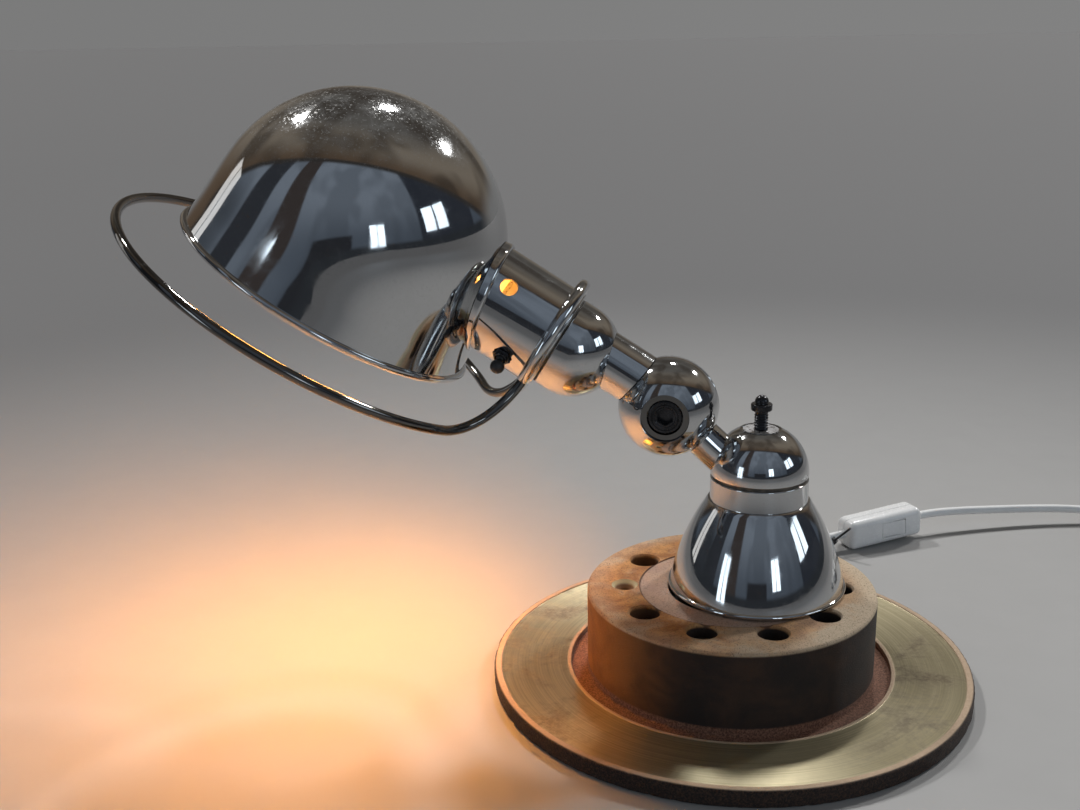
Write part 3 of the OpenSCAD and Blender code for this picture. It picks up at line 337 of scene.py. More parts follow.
wave = noise_at(plating, into["Vector"], 14.0, 1.0)
join(plating, out_of, Specks=specks, Roughness=rough, Height=wave)
print("plating nodes:", len(plating.nodes))

# %% Chrome finishes
PLATE, PAINTED_DARK_PLATE, DUST = (0.55, 0.556, 0.56), (0.15, 0.145, 0.14), (0.42, 0.39, 0.34)


def chrome_finish(name, plate, dust, speck_size=1500.0, haze=0.1, fade=None):
    """Chrome plate; fade (direction, start, end) in metres gathers the dust on one side."""
    finish, tree, shader, vector = new_finish(name)
    amount = dust
    if fade:
        direction, start, end = fade
        amount = band(tree, gauge(tree, "DOT_PRODUCT", vector, direction), start, end, dust * 0.06, dust)
    worn = use_group(tree, plating, Vector=vector, Dust=amount, Speck_Size=speck_size, Haze=haze)
    join(tree, shader, Base_Color=blend(tree, worn["Specks"], plate, DUST), Roughness=worn["Roughness"],
         Metallic=sums(tree, "SUBTRACT", 1.0, worn["Specks"]))
    bump(tree, shader, worn["Height"], 0.06, 0.002)
    return finish


chrome = chrome_finish("chrome_plate", PLATE, 0.12)
shade_chrome = chrome_finish("shade_chrome", PLATE, 0.95, 720.0, 0.08, fade=((0.0, 0.15, 1.0), 0.262, 0.305))
# The dark plate is painted reflection and shade: plain chrome darkened as if it mirrored a dark room.
painted_dark_chrome = chrome_finish("painted_dark_chrome", PAINTED_DARK_PLATE, 0.1, 2200.0, 0.12)
print("chrome finishes:", chrome.name, shade_chrome.name, painted_dark_chrome.name)

# %% [markdown]
# ## Old iron
# The disc is grey cast iron. Its working face was ground bright by the pads and has turned olive, and the
# rest rusted: orange and sandy on top of the hat, nearly black on the wall and the rim. Each zone could
# have its own material, but then its border would be a hard line. One material finds the zones from the
# distance to the axis and the height, so that they run into each other as rust does.

# %% Rust group
rusting, into, out_of = new_group("rusting", ("Scale",), ("Blotch", "Grain", "Pits"))
scaled = put(rusting, "ShaderNodeVectorMath", {0: into["Vector"], "Scale": into["Scale"]}, operation="SCALE")
join(rusting, out_of, Blotch=noise_at(rusting, scaled, 1.0, 6.0, 0.62, 0.4),
     Grain=noise_at(rusting, scaled, 14.0, 5.0, 0.7), Pits=noise_at(rusting, scaled, 45.0, 3.0, 0.6))
print("rusting nodes:", len(rusting.nodes))

# %% Brake disc finish: where each zone lies
FACE_FROM, LIP_FROM, RIM_FROM = (0.0862, 0.0872), (0.1220, 0.1227), (0.1250, 0.1260)
WALL_FROM, TOP_FROM, REGISTER_R = (0.0092, 0.0105), (0.0478, 0.0492), 0.0480
SCREW_SEAT = (-0.0557, -0.00585, 0.0493)
iron, tree, shader, vector = new_finish("brake_iron", IOR=1.5, Anisotropic=0.75, Anisotropic_Rotation=0.25)
axes = put(tree, "ShaderNodeSeparateXYZ", {"Vector": vector})
x, y, z = axes.node.outputs
radius = gauge(tree, "LENGTH", put(tree, "ShaderNodeCombineXYZ", {"X": x, "Y": y}))
bearing = sums(tree, "ARCTAN2", y, x)
on_face = band(tree, radius, *FACE_FROM)
on_lip = band(tree, radius, *LIP_FROM)
on_rim = band(tree, radius, *RIM_FROM)
low = band(tree, z, *WALL_FROM, 1.0, 0.0)
bright = times(tree, on_face, low, band(tree, radius, *LIP_FROM, 1.0, 0.0))
rust = use_group(tree, rusting, Vector=vector, Scale=32.0)
spots = use_group(tree, rusting, Vector=vector, Scale=75.0)
print("nodes for the zones:", len(tree.nodes))

# %% Brake disc finish: the ground face and the rust round it
RING_FINENESS, RING_BREAKS = 1100.0, 0.9
turned = put(tree, "ShaderNodeCombineXYZ", {
    "X": times(tree, radius, RING_FINENESS), "Y": times(tree, bearing, RING_BREAKS)})
rings = noise_at(tree, turned, 1.0, 5.0, 0.7)
face_tone = shades(tree, rings, 0.3, 0.7, (0.43, 0.37, 0.225), (0.66, 0.58, 0.38))
cloudy = times(tree, band(tree, rust["Blotch"], 0.45, 0.66), band(tree, rust["Grain"], 0.3, 0.6, 0.55, 1.0))
stain = times(tree, cloudy, band(tree, sums(tree, "ABSOLUTE", x), 0.04, 0.095, 0.12, 1.0))
face_tone = blend(tree, stain, face_tone, (0.15, 0.115, 0.07))
lip_tone = blend(tree, rust["Grain"], (0.40, 0.265, 0.165), (0.66, 0.50, 0.35))
groove_tone = shades(tree, spots["Grain"], 0.35, 0.65, (0.11, 0.045, 0.026), (0.34, 0.165, 0.10))
groove_tone = shades(tree, radius, 0.0846, 0.0850, groove_tone, lip_tone)
wall_tone = shades(tree, rust["Blotch"], 0.4, 0.7, (0.020, 0.013, 0.010), (0.055, 0.027, 0.015))
# The left of the hat wall is painted orange: the bulb's light on it, a painted pool of light over a rust
# pattern.
wall_painted_glow = shades(tree, rust["Blotch"], 0.35, 0.65, (0.21, 0.078, 0.015), (0.36, 0.14, 0.03))
wall_tone = blend(tree, band(tree, x, -0.078, -0.012, 1.0, 0.0), wall_tone, wall_painted_glow)
rim_tone = shades(tree, spots["Grain"], 0.4, 0.7, (0.012, 0.008, 0.007), (0.085, 0.042, 0.024))
print("nodes with the face and its rust:", len(tree.nodes))

# %% Brake disc finish: the top of the hat
top_rust = shades(tree, spots["Blotch"], 0.35, 0.68, (0.36, 0.135, 0.034), (0.66, 0.32, 0.10))
sandy = blend(tree, rust["Grain"], (0.44, 0.325, 0.21), (0.74, 0.60, 0.43))
register_tone = blend(tree, rust["Grain"], (0.40, 0.26, 0.20), (0.62, 0.46, 0.37))
rubbed = sums(tree, "ADD", band(tree, rust["Blotch"], 0.48, 0.66, 0.0, 0.55),
              band(tree, x, -0.01, 0.07, 0.0, 0.55))
rubbed = sums(tree, "ADD", rubbed, band(tree, radius, 0.060, 0.073, 0.0, 0.45))
hat_tone = blend(tree, sums(tree, "MINIMUM", rubbed, 1.0), top_rust, sandy)
scribed = sums(tree, "ABSOLUTE", sums(tree, "SUBTRACT", radius, REGISTER_R))
from_seat = gauge(tree, "DISTANCE", vector, SCREW_SEAT)
marks = (
    (radius, (REGISTER_R - 0.0006, REGISTER_R, 0.75, 0.0), register_tone),
    (scribed, (0.0002, 0.0006, 0.8, 0.0), (0.09, 0.045, 0.03)),
    (rust["Pits"], (0.56, 0.66, 0.0, 0.7), (0.10, 0.045, 0.025)),
    (rust["Grain"], (0.57, 0.70, 0.0, 0.6), (0.13, 0.058, 0.03)),
    (from_seat, (0.0066, 0.0074, 1.0, 0.0), (0.66, 0.54, 0.30)),
)
for mask, edges, tone in marks:
    hat_tone = blend(tree, band(tree, mask, *edges), hat_tone, tone)
print("marks on the hat:", len(marks))

# %% Brake disc finish: the zones put together
tone = blend(tree, on_face, groove_tone, face_tone)
tone = blend(tree, on_lip, tone, lip_tone)
tone = blend(tree, on_rim, tone, rim_tone)
tone = blend(tree, low, wall_tone, tone)
tone = shades(tree, z, *TOP_FROM, tone, hat_tone)
dull = band(tree, bright, 0.0, 1.0, 0.85, 0.29)
join(tree, shader, Base_Color=tone,
     Metallic=times(tree, bright, band(tree, stain, 0.0, 1.0, 0.78, 0.45)),
     Roughness=sums(tree, "ADD", dull, times(tree, stain, 0.12)),
     Tangent=put(tree, "ShaderNodeTangent", direction_type="RADIAL", axis="Z"))
cast = sums(tree, "ADD", spots["Grain"], times(tree, spots["Pits"], 0.5))
ground = times(tree, rings, 0.12)
height = put(tree, "ShaderNodeMix", {0: bright, 2: cast, 3: ground}, data_type="FLOAT")
bump(tree, shader, height, 0.55, 0.0012)
print("brake disc finish:", iron.name, "nodes:", len(tree.nodes))

# %% [markdown]
# ## Plain metals, plastics and fibre
# Small parts need quieter finishes: turned steel with a fine grain, blackened steel, brass, fibre
# washers, glazed ceramic and moulded plastic. All take their slight unevenness from one group, at their
# own scale, so a table of values is enough to describe them.

# %% Grain group and the small finishes
graining, into, out_of = new_group("graining", ("Scale",), ("Tone", "Height"))
close = times(graining, into["Scale"], 9.0)
join(graining, out_of, Tone=noise_at(graining, into["Vector"], into["Scale"], 4.0, 0.6),
     Height=noise_at(graining, into["Vector"], close, 3.0, 0.6))


def grained_finish(name, dark, light, scale, rough, strength, metallic=0.0):
    finish, tree, shader, vector = new_finish(name, Metallic=metallic)
    worn = use_group(tree, graining, Vector=vector, Scale=scale)
    join(tree, shader, Base_Color=shades(tree, worn["Tone"], 0.3, 0.7, dark, light),
         Roughness=band(tree, worn["Height"], 0.3, 0.7, *rough))
    bump(tree, shader, worn["Height"], strength, 0.0004)
    return finish


SMALL_FINISHES = {
    "steel": ("turned_steel", (0.42, 0.42, 0.43), (0.60, 0.60, 0.61), 90, (0.25, 0.4), 0.1, 1.0),
    "black_steel": ("black_steel", (0.018, 0.018, 0.020), (0.05, 0.05, 0.055), 120, (0.14, 0.3), 0.1, 0.6),
    "brass": ("brass", (0.60, 0.42, 0.16), (0.80, 0.60, 0.28), 80, (0.25, 0.4), 0.08, 1.0),
    "fibre": ("fibre", (0.05, 0.045, 0.04), (0.16, 0.13, 0.10), 160, (0.7, 0.9), 0.4),
    "ceramic": ("glazed_ceramic", (0.74, 0.70, 0.60), (0.84, 0.80, 0.71), 60, (0.2, 0.35), 0.06),
    "black_plastic": ("black_plastic", (0.010, 0.010, 0.011), (0.03, 0.03, 0.032), 140, (0.3, 0.5), 0.15),
    "white_plastic": ("white_plastic", (0.86, 0.86, 0.855), (0.92, 0.92, 0.91), 70, (0.16, 0.3), 0.05),
    "white_cord": ("white_cord", (0.84, 0.84, 0.83), (0.90, 0.90, 0.89), 90, (0.28, 0.45), 0.12),
}
SLOT_FINISH = {slot: grained_finish(*values) for slot, values in SMALL_FINISHES.items()}
print("small finishes:", list(SLOT_FINISH))

# %% [markdown]
# ## The lit glass
# The bulb is lit, so its finish glows in the orange of a warm filament. A lamp inside clear glass could
# do it too, but its light would come out grainy. The neck is dimmed along the bulb's own line, because
# there the real glass hides in its cap and would only pour light into the socket.

# %% Lit glass
GLOW_STRENGTH, NECK_FADE = 140.0, (0.116, 0.136)
glow, tree, shader, vector = new_finish(
    "lit_glass", Transmission_Weight=0.0, Roughness=0.25, Emission_Strength=GLOW_STRENGTH, IOR=1.5
)
worn = use_group(tree, graining, Vector=vector, Scale=45.0)
warm = shades(tree, worn["Tone"], 0.3, 0.7, (1.0, 0.36, 0.05), (1.0, 0.41, 0.075))
knuckle_at = SOCKET.translation / 1000
from_knuckle = put(tree, "ShaderNodeVectorMath", {0: vector, 1: knuckle_at}, operation="SUBTRACT")
along = gauge(tree, "DOT_PRODUCT", from_knuckle, SOCKET.to_3x3() @ UP)
join(tree, shader, Emission_Color=shades(tree, along, *NECK_FADE, (0.0076, 0.0032, 0.0005), warm),
     Base_Color=blend(tree, worn["Tone"], (0.86, 0.78, 0.62), (0.95, 0.88, 0.74)))
print("lit glass:", glow.name, "strength", GLOW_STRENGTH)

# %% Finishes on the CAD nodes
SLOT_FINISH.update(rusty_iron=iron, chrome=chrome, bulb_glass=glow)
for part in frame["record"]["subparts"]:
    surface = solids[part["node"]].data
    surface.materials.clear()
    surface.materials.append(SLOT_FINISH[part["material_slot"]])


def dress(piece, body, slot, *stands_for, finish=None):
    """Gives a piece its body, its slot's finish or another, and the CAD nodes that it stands for."""
    piece.data.materials.clear()
    piece.data.materials.append(finish or SLOT_FINISH[slot])
    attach(piece, body)
    if stands_for:
        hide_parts(*stands_for)
    return piece


# %% [markdown]
# ## The cord
# The white mains lead is 5.5 mm thick and about 1.8 m long. It leaves the bell at the back, drops to the
# table, runs through its switch and goes out of the picture, and the unseen length is wound in a neat
# coil there. A mesh tube could follow the same line, but a curve is smooth and easy to change, so each
# stretch is one open curve through the points of the CAD route, with a round bevel.

# %% The cord's route
CORD_D = 5.5
RELIEF_TURN, RELIEF_Z, RELIEF_L, BELL_SIDE_R = 95.0, 60.0, 28.0, 125.0
SIDE_CENTRE = (-77.178, 28.950)
relief_lean = math.degrees(math.asin((RELIEF_Z - SIDE_CENTRE[1]) / BELL_SIDE_R))
relief_r = SIDE_CENTRE[0] + math.sqrt(BELL_SIDE_R ** 2 - (RELIEF_Z - SIDE_CENTRE[1]) ** 2)
RELIEF = BELL @ turn(RELIEF_TURN, "Z") @ shift(relief_r, 0, RELIEF_Z) @ turn(90 - relief_lean, "Y")
relief_tip = RELIEF @ Vector((0, 0, RELIEF_L))
relief_on = RELIEF @ Vector((0, 0, RELIEF_L + CORD_D))
SWITCH_IN = Vector((68.5, 182, 9.75))
SWITCH_L = 57.0
SWITCH_LINE = shift(*SWITCH_IN) @ turn(32.5, "Z") @ turn(-3, "Y")
switch_out = SWITCH_LINE @ Vector((SWITCH_L, 0, 0))
lead_route = [relief_tip, relief_on, (9, 96, 68), (13, 108, 61), (18, 120, 50), (23, 132, 38), (29, 143, 27),
              (36, 153, 18), (44, 162, 12), (52, 170.5, 9.4), (60, 176.5, 9.3), SWITCH_IN]
run_route = [switch_out, (124, 217.5, 13), (134.5, 223, 12.9), (145, 227.5, 12.5), (154, 231, 12.2),
             (162.5, 234, 11.8), (171, 237, 11.4), (180, 240, 11), (188.5, 242.6, 10.7), (197, 245, 10.4),
             (205.5, 247.1, 10.1), (214, 249, 9.8), (222, 250.4, 9.5), (231, 251.6, 9), (245, 253, 7.8),
             (258, 253.8, 6.2), (269, 254, 4.6)]
print("route points:", len(lead_route), len(run_route))

# %% The coil and the tail to the plug
COIL_TURNS, CLIMB_TURNS, CLIMB_DIP, COIL_PITCH = 3.375, 0.5, 1.8, 6.2
COIL_OUTER = 32 + COIL_TURNS * COIL_PITCH / 2
COIL_CENTRE = (284.0, 254.0 - COIL_OUTER)
COIL_Z, PLUG_Z, TAIL_L, TAIL_DOWN = 3.75, 6.85, 34.0, 0.84


def coil_at(turns):
    """A point of the coil: inwards on the table, up inside half a turn, outwards on top."""
    climb = min(max((turns - COIL_TURNS) / CLIMB_TURNS, 0), 1)
    wound = turns if turns < COIL_TURNS else COIL_TURNS - max(turns - COIL_TURNS - CLIMB_TURNS, 0)
    r = COIL_OUTER - wound * COIL_PITCH - CLIMB_DIP * math.sin(math.pi * climb)
    a = math.radians(90 - 360 * turns)
    return (COIL_CENTRE[0] + r * math.cos(a), COIL_CENTRE[1] + r * math.sin(a),
            COIL_Z + COIL_PITCH * (1 - math.cos(math.pi * climb)) / 2)


def tail_at(s):
    """A point of the tail, which comes down from the coil to the plug."""
    top = COIL_Z + COIL_PITCH - PLUG_Z
    return (COIL_CENTRE[0] + COIL_OUTER, COIL_CENTRE[1] - TAIL_L * s,
            PLUG_Z + top * (1 - min(s / TAIL_DOWN, 1)))


turns_in_all = 2 * COIL_TURNS + CLIMB_TURNS
coil_steps = math.ceil(turns_in_all * 24)
coil_route = [coil_at(turns_in_all * i / coil_steps) for i in range(coil_steps + 1)]
tail_route = [tail_at(s) for s in (0.35, 0.6, TAIL_DOWN, 1)]
print("coil and tail points:", len(coil_route), len(tail_route))


# %% The cord's curves
def cord_piece(name, route):
    curve = bpy.data.curves.new(name, "CURVE")
    curve.dimensions = "3D"
    curve.bevel_depth = CORD_D / 2000
    curve.bevel_resolution = 6
    curve.resolution_u = 4
    curve.use_fill_caps = True
    spline = curve.splines.new("BEZIER")
    spline.bezier_points.add(len(route) - 1)
    for point, place in zip(spline.bezier_points, route):
        point.co = METRES @ Vector(place)
        point.handle_left_type = point.handle_right_type = "AUTO"
    piece = bpy.data.objects.new(name, curve)
    bpy.context.scene.collection.objects.link(piece)
    return piece


lead_cord = dress(cord_piece("lead_cord", lead_route), "base", "white_cord", "cord_lead")
main_cord = dress(cord_piece("main_cord", run_route + coil_route + tail_route), "base", "white_cord",
                  "cord_run", "cord_coil")
print("cords:", lead_cord.name, main_cord.name)


# %% The cord's length
def curve_length(piece):
    """The length of the line inside a cord, measured on a copy without its bevel."""
    line = piece.copy()
    line.data = piece.data.copy()
    line.data.bevel_depth = 0.0
    bpy.context.scene.collection.objects.link(line)
    mesh = line.evaluated_get(bpy.context.evaluated_depsgraph_get()).to_mesh()
    points = [v.co for v in mesh.vertices]
    length = sum((points[e.vertices[0]] - points[e.vertices[1]]).length for e in mesh.edges)
    bpy.data.objects.remove(line)
    return length


print("cord lengths:", round(curve_length(lead_cord), 4), round(curve_length(main_cord), 4))

# %% [markdown]
# ## The shade
# The shade was spun from one sheet: half a ball that runs into a slightly flared skirt with a rolled rim.
# A half sphere and a cone would meet in a crease, so an easy curve joins them. One open outline from the
# outer pole round the rim to the inner pole gives the sheet both its walls.

# %% Shade
SKIRT_L, RIM_R, SHEET, ROLL_R, SPIGOT_HOLE_R = 32.0, 81.8, 1.2, 2.0, 23.2
EASE_FROM, EASE_TO_Z, EASE_STEPS = 14, -20.0, 12


def shade_outline(inset):
    """From the pole to the rim: the ball, an easy curve into the skirt, and the skirt's straight flare."""
    ball = arc((0, 0), SHADE_R, 90, EASE_FROM, 1.5)
    flare = (RIM_R - SHADE_R) / SKIRT_L
    first, last = Vector(ball[-1]), Vector((SHADE_R - flare * EASE_TO_Z, EASE_TO_Z))
    span = first.y - last.y
    start_pull, end_pull = Vector((first.y / first.x, -1)) * span, Vector((flare, -1)) * span
    eased = []
    for k in range(1, EASE_STEPS + 1):
        t = k / EASE_STEPS
        a, b, c, d = 2 * t**3 - 3 * t**2 + 1, t**3 - 2 * t**2 + t, 3 * t**2 - 2 * t**3, t**3 - t**2
        eased.append(tuple(first * a + start_pull * b + last * c + end_pull * d))
    return [(max(r - inset, 0) if r > 1e-6 else 0, z - inset * z / SHADE_R if z > 0 else z)
            for r, z in ball + eased + [(RIM_R, -SKIRT_L)]]


rim = arc((RIM_R, -SKIRT_L), ROLL_R, 96, -226, 15)
sheet_outline = shade_outline(0)[:-1] + rim + shade_outline(SHEET)[-2::-1]
shade = spun("shade_bowl", SHADE, sheet_outline, 256, closed=False)
drill(shade, "spigot_hole", FLANGE @ shift(0, 0, SHADE_R / 2), SPIGOT_HOLE_R, SHADE_R, 96)
dress(shade, "head", "chrome", "shade", finish=shade_chrome)
print("shade faces:", len(shade.data.polygons))

# %% [markdown]
# ## Flange and socket
# The flange is a cast ring that beds on the ball of the shade, so its underside is cut by the shade's own
# form. The socket is a tube with a closed back. As in a workshop, it is turned too long, cut off square
# to the flange, and then drilled for the vents and the toggle.

# %% Flange
BED_GAP = 0.2
seat = arc((0, 0), SHADE_R + BED_GAP, 71.5, 67.4, 0.6)
flange = spun(
    "bedded_flange", FLANGE,
    [(21, 65.8), (23, 65.8), (23, seat[0][1])] + seat[1:] + [(30, 73.2)]
    + arc((28, 75.2), 2, 0, 90, 15) + arc((22, 76.2), 1, 90, 180, 30))
carve(flange, spun("shade_form", SHADE, shade_outline(-BED_GAP) + [(0, -SKIRT_L)], closed=False))
dress(flange, "head", "chrome", "shade_flange")
print("flange faces:", len(flange.data.polygons))

# %% Socket
SOCKET_R, SOCKET_IN_R, SOCKET_Z, SOCKET_TOP, PIVOT_HOLE_R = 27.6, 25.8, 66.35, 116, 6.05
VENT_R, VENT_Z, TOGGLE_HOLE_R, DRILL_L = 4.5, 101, 3.8, 55
bm = lathe(rounded([
    (PIVOT_HOLE_R, SOCKET_Z, 0), (SOCKET_R, SOCKET_Z, 1.2), (SOCKET_R, SOCKET_TOP, 0),
    (SOCKET_IN_R, SOCKET_TOP, 0), (SOCKET_IN_R, SOCKET_Z + 3, 0), (PIVOT_HOLE_R, SOCKET_Z + 3, 0)]), 192)
mouth = SOCKET.inverted() @ FLANGE
bmesh.ops.bisect_plane(
    bm, geom=bm.verts[:] + bm.edges[:] + bm.faces[:], plane_co=mouth @ Vector((0, 0, SHADE_R - 0.95)),
    plane_no=-(mouth.to_3x3() @ UP), clear_outer=True)
bmesh.ops.bridge_loops(bm, edges=[e for e in bm.edges if e.is_boundary])
socket = as_piece(bm, "socket_tube", SOCKET)
for vent_at in (300, 180, 60):
    drill(socket, "vent", SOCKET @ turn(vent_at, "Z") @ shift(0, 0, VENT_Z) @ turn(90, "Y"), VENT_R, DRILL_L)
drill(socket, "toggle_hole", TOGGLE, TOGGLE_HOLE_R, DRILL_L)
dress(socket, "head", "chrome", "socket_shell")
print("socket faces:", len(socket.data.polygons))

# %% [markdown]
# ## Guard
# The guard is one rod, bent to a loop under the shade and led back by two legs to a collar on the socket.
# Three separate arcs would show their joints, so a ring of points is spun along the first leg, round the
# loop and along the second leg, and the rod is one tube.

# %% Guard: its bends
ROD_R, LOOP_R, LEG_Y, LEG_TOP_Y = 2.6, 110.0, 56.0, 22.0
COLLAR_ROD_R, COLLAR_Z = 3.2, 70.5
COLLAR_R = SOCKET_R + 0.2 + COLLAR_ROD_R
GUARD = SOCKET @ turn(-0.8, "Z")
loop_centre = Vector((-(SHADE_DROP + 44.8), 0, SHADE_Z + 1.7))
leg_angle = math.asin(LEG_Y / LOOP_R)


def leg_bend(side):
    """Start, end and centre of a leg's arc, and its axis and angle from the loop to the collar."""
    start = Vector((loop_centre.x, side * LEG_Y, loop_centre.z - LOOP_R * math.cos(leg_angle)))
    end = Vector((-math.sqrt(COLLAR_R ** 2 - LEG_TOP_Y ** 2), side * LEG_TOP_Y, COLLAR_Z))
    along = Vector((0, -side * math.cos(leg_angle), -math.sin(leg_angle)))
    reach = end - start
    angle = along.angle(reach)
    inwards = (reach.normalized() - along * math.cos(angle)) / math.sin(angle)
    centre = start + inwards * (reach.length / 2 / math.sin(angle))
    return start, end, centre, along.cross(inwards), 2 * angle


start, end, centre, axis, angle = leg_bend(1)
_, far_end, far_centre, far_axis, far_angle = leg_bend(-1)
print("guard rod ends", [round(x, 1) for x in end], [round(x, 1) for x in far_end])

# %% Guard: the rod and its collar
bm = bmesh.new()
bmesh.ops.create_circle(bm, cap_ends=True, radius=ROD_R, segments=20)
heading = (start - centre).cross(axis).normalized().to_track_quat("Z", "Y").to_matrix().to_4x4()
bmesh.ops.transform(bm, matrix=shift(*start) @ heading, verts=bm.verts)
bmesh.ops.rotate(bm, verts=bm.verts, cent=centre, matrix=Matrix.Rotation(angle, 3, axis))
ring = bm.faces[:] + bm.edges[:] + bm.verts[:]
bends = ((centre, axis, -angle, 48), (loop_centre, Vector((1, 0, 0)), math.tau - 2 * leg_angle, 220),
         (far_centre, far_axis, far_angle, 48))
for bend_centre, bend_axis, bend_angle, steps in bends:
    swept = bmesh.ops.spin(bm, geom=ring, cent=bend_centre, axis=bend_axis, dvec=(0, 0, 0), angle=bend_angle,
                           steps=steps, use_merge=False, use_duplicate=False)
    ring = swept["geom_last"]
bmesh.ops.remove_doubles(bm, verts=bm.verts, dist=1e-3)
bmesh.ops.recalc_face_normals(bm, faces=bm.faces)
guard = as_piece(bm, "guard_rod", GUARD)
collar = spun("guard_collar", GUARD, arc((COLLAR_R, COLLAR_Z), COLLAR_ROD_R, 0, 345, 15))
# The rod's dark plate is a painted dark reflection; the rod itself is plain chrome.
dress(guard, "head", "chrome", "guard", finish=painted_dark_chrome)
dress(collar, "head", "chrome")
print("guard faces:", len(guard.data.polygons), len(collar.data.polygons))

# %% [markdown]
# ## Bell, collar and swivel dome
# The foot of the lamp is a bell with a thin bead, a straight collar, and a dome that turns on the collar.
# A dark fibre ring shows as a fine line between them. Each outline goes up the outside and back down the
# inside, so no wall needs its thickness added later.

# %% Bell
FOOT_Z, NECK_Z, COLLAR_TOP, BEAD_R, WALL = 50.3, 98.8, 110.8, 1.3, 2.5
side_out = arc(SIDE_CENTRE, BELL_SIDE_R, 11.1, 33.9, 0.8)
side_in = arc(SIDE_CENTRE, BELL_SIDE_R - WALL, 33.4, 10.1, 2.0)
bell = spun(
    "bell_shell", BELL,
    [(43.4, FOOT_Z), (45.2, FOOT_Z)] + arc((45.35, FOOT_Z + BEAD_R), BEAD_R, -85, 76, 15) + side_out
    + [(26.3, NECK_Z + 0.1), (25.5, NECK_Z + 0.25), (25.4, NECK_Z + 0.6)]
    + arc((24.8, COLLAR_TOP - 0.6), 0.6, 0, 90, 15)
    + [(12.1, COLLAR_TOP), (12.1, COLLAR_TOP - 3.5), (5.1, COLLAR_TOP - 3.5), (5.1, COLLAR_TOP - 9),
       (22.9, COLLAR_TOP - 9)] + side_in, 192)
dress(bell, "base", "chrome", "bell")
print("bell faces:", len(bell.data.polygons))

# %% Swivel dome
CAP_Z, CAP_CENTRE_Z, CAP_R, CAP_HOLE_R, SPOT_Z = 112.45, 113.45, 25.4, 8.05, 135.25
cap = spun(
    "swivel_dome", BELL,
    [(CAP_HOLE_R, CAP_Z)] + arc((CAP_R - 0.5, CAP_Z + 0.5), 0.5, -90, 0, 15)
    + arc((0, CAP_CENTRE_Z), CAP_R, 0, 65.2, 1.5) + arc((10.75, 136.15), 0.35, 66, 180, 30)
    + [(10.4, SPOT_Z), (CAP_HOLE_R, SPOT_Z)], 192)
dress(cap, "shoulder", "chrome", "swivel_cap")
print("dome faces:", len(cap.data.polygons))

# %% [markdown]
# ## Ball knuckle
# Two half balls turn against each other on a bolt. Each half is turned about the bolt, and its arm is a
# rod that is cut to the ball and to the dome that it is brazed to. A rod pushed into the ball would look
# the same at rest, but it would cut through the other half when the joint moves. The recess round the
# bolt takes the dark plate, which is painted shade.

# %% Half balls
BALL_R, SEAM, SWEEP, RECESS_R, RECESS_Z = 26.1, 0.15, 0.4, 12.25, 9
half_outline = (
    [(15.3, SEAM), (BALL_R - 0.4, SEAM)] + arc((0, 0), BALL_R, 1.2, 61.6, 1.5)
    + arc((12.6, 22.3), 0.4, 60, 180, 30)
    + [(12.2, 21.07), (9.2, 21.07), (9.2, 10), (4.1, 10), (4.1, 1.2), (15.3, 1.2)])
FRONT, REAR = BALL @ turn(90, "X"), BALL @ turn(-90, "X")
front_half = spun("ball_front", FRONT, half_outline, 192)
dress(front_half, "shoulder", "chrome", "knuckle_front")
# The recess faces get the dark plate: painted shade in the recess round the bolt.
front_half.data.materials.append(painted_dark_chrome)
to_bolt = (METRES @ FRONT).inverted()
for face in front_half.data.polygons:
    at = to_bolt @ face.center
    if at.z > RECESS_Z and at.xy.length < RECESS_R:
        face.material_index = 1
rear_half = spun("ball_rear", REAR, half_outline, 192)
dress(rear_half, "elbow", "chrome", "knuckle_rear")
print("half ball faces:", len(front_half.data.polygons), len(rear_half.data.polygons))

# %% Cutters and rods for the arms
STUB_R, STUB_LEAN, NECK_R, NECK_SIDE = 10, 42.4, 14.7, 5.4
NECK_DOME_R, NECK_DOME_Z, FIT = 25, 58, 0.05


def ball_tool(place):
    """The ball as a cutter: tight on the half that carries the arm, freer on the half that turns past it."""
    seam_at = math.degrees(math.asin(SEAM / BALL_R))
    outline = arc((0, 0), BALL_R - 1, -90, -seam_at, 2.5) + arc((0, 0), BALL_R + SWEEP, -seam_at, 90, 2.5)
    return spun("ball_tool", place, outline, 120, closed=False)


def dome_tool(radius, place):
    return spun("dome_tool", place, arc((0, 0), radius, -90, 90, 2.5), 120, closed=False)


def arm(name, place, radius, low, high, steps):
    return spun(name, place, [(0, low), (radius, low), (radius, high), (0, high)], steps, closed=False)


# %% Arms of the ball
stub = arm("ball_stub", BALL @ turn(90 + STUB_LEAN, "Y"), STUB_R, 14, 47, 97)
carve(stub, ball_tool(REAR))
carve(stub, dome_tool(CAP_R + FIT, BELL @ shift(0, 0, CAP_CENTRE_Z)))
dress(stub, "shoulder", "chrome")
neck = arm("ball_neck", HEAD @ shift(NECK_SIDE, 0, 0), NECK_R, 12, 49, 129)
carve(neck, ball_tool(FRONT))
carve(neck, dome_tool(NECK_DOME_R + FIT, HEAD @ shift(0, 0, NECK_DOME_Z)))
dress(neck, "elbow", "chrome")
dome = spun(
    "neck_dome", HEAD,
    arc((0, NECK_DOME_Z), NECK_DOME_R, -90, 0, 1.5) + arc((24.4, 64.9), 0.6, 0, 90, 15)
    + [(22.5, 65.5), (22.5, 61), (0, 61)], 192, closed=False)
dress(dome, "elbow", "chrome", "rear_dome")
print("arms:", len(stub.data.polygons), len(neck.data.polygons))

# %% [markdown]
# ## Knuckle bolt and clamp screw
# A black socket-head bolt sits deep in the ball, and a black screw on the dome clamps the swivel. Both
# are turned. The key's hole is cut with a six-sided cone, because a hexagon is a cone with six segments,
# and the thread is drawn as rings, which at this size look like a helix.

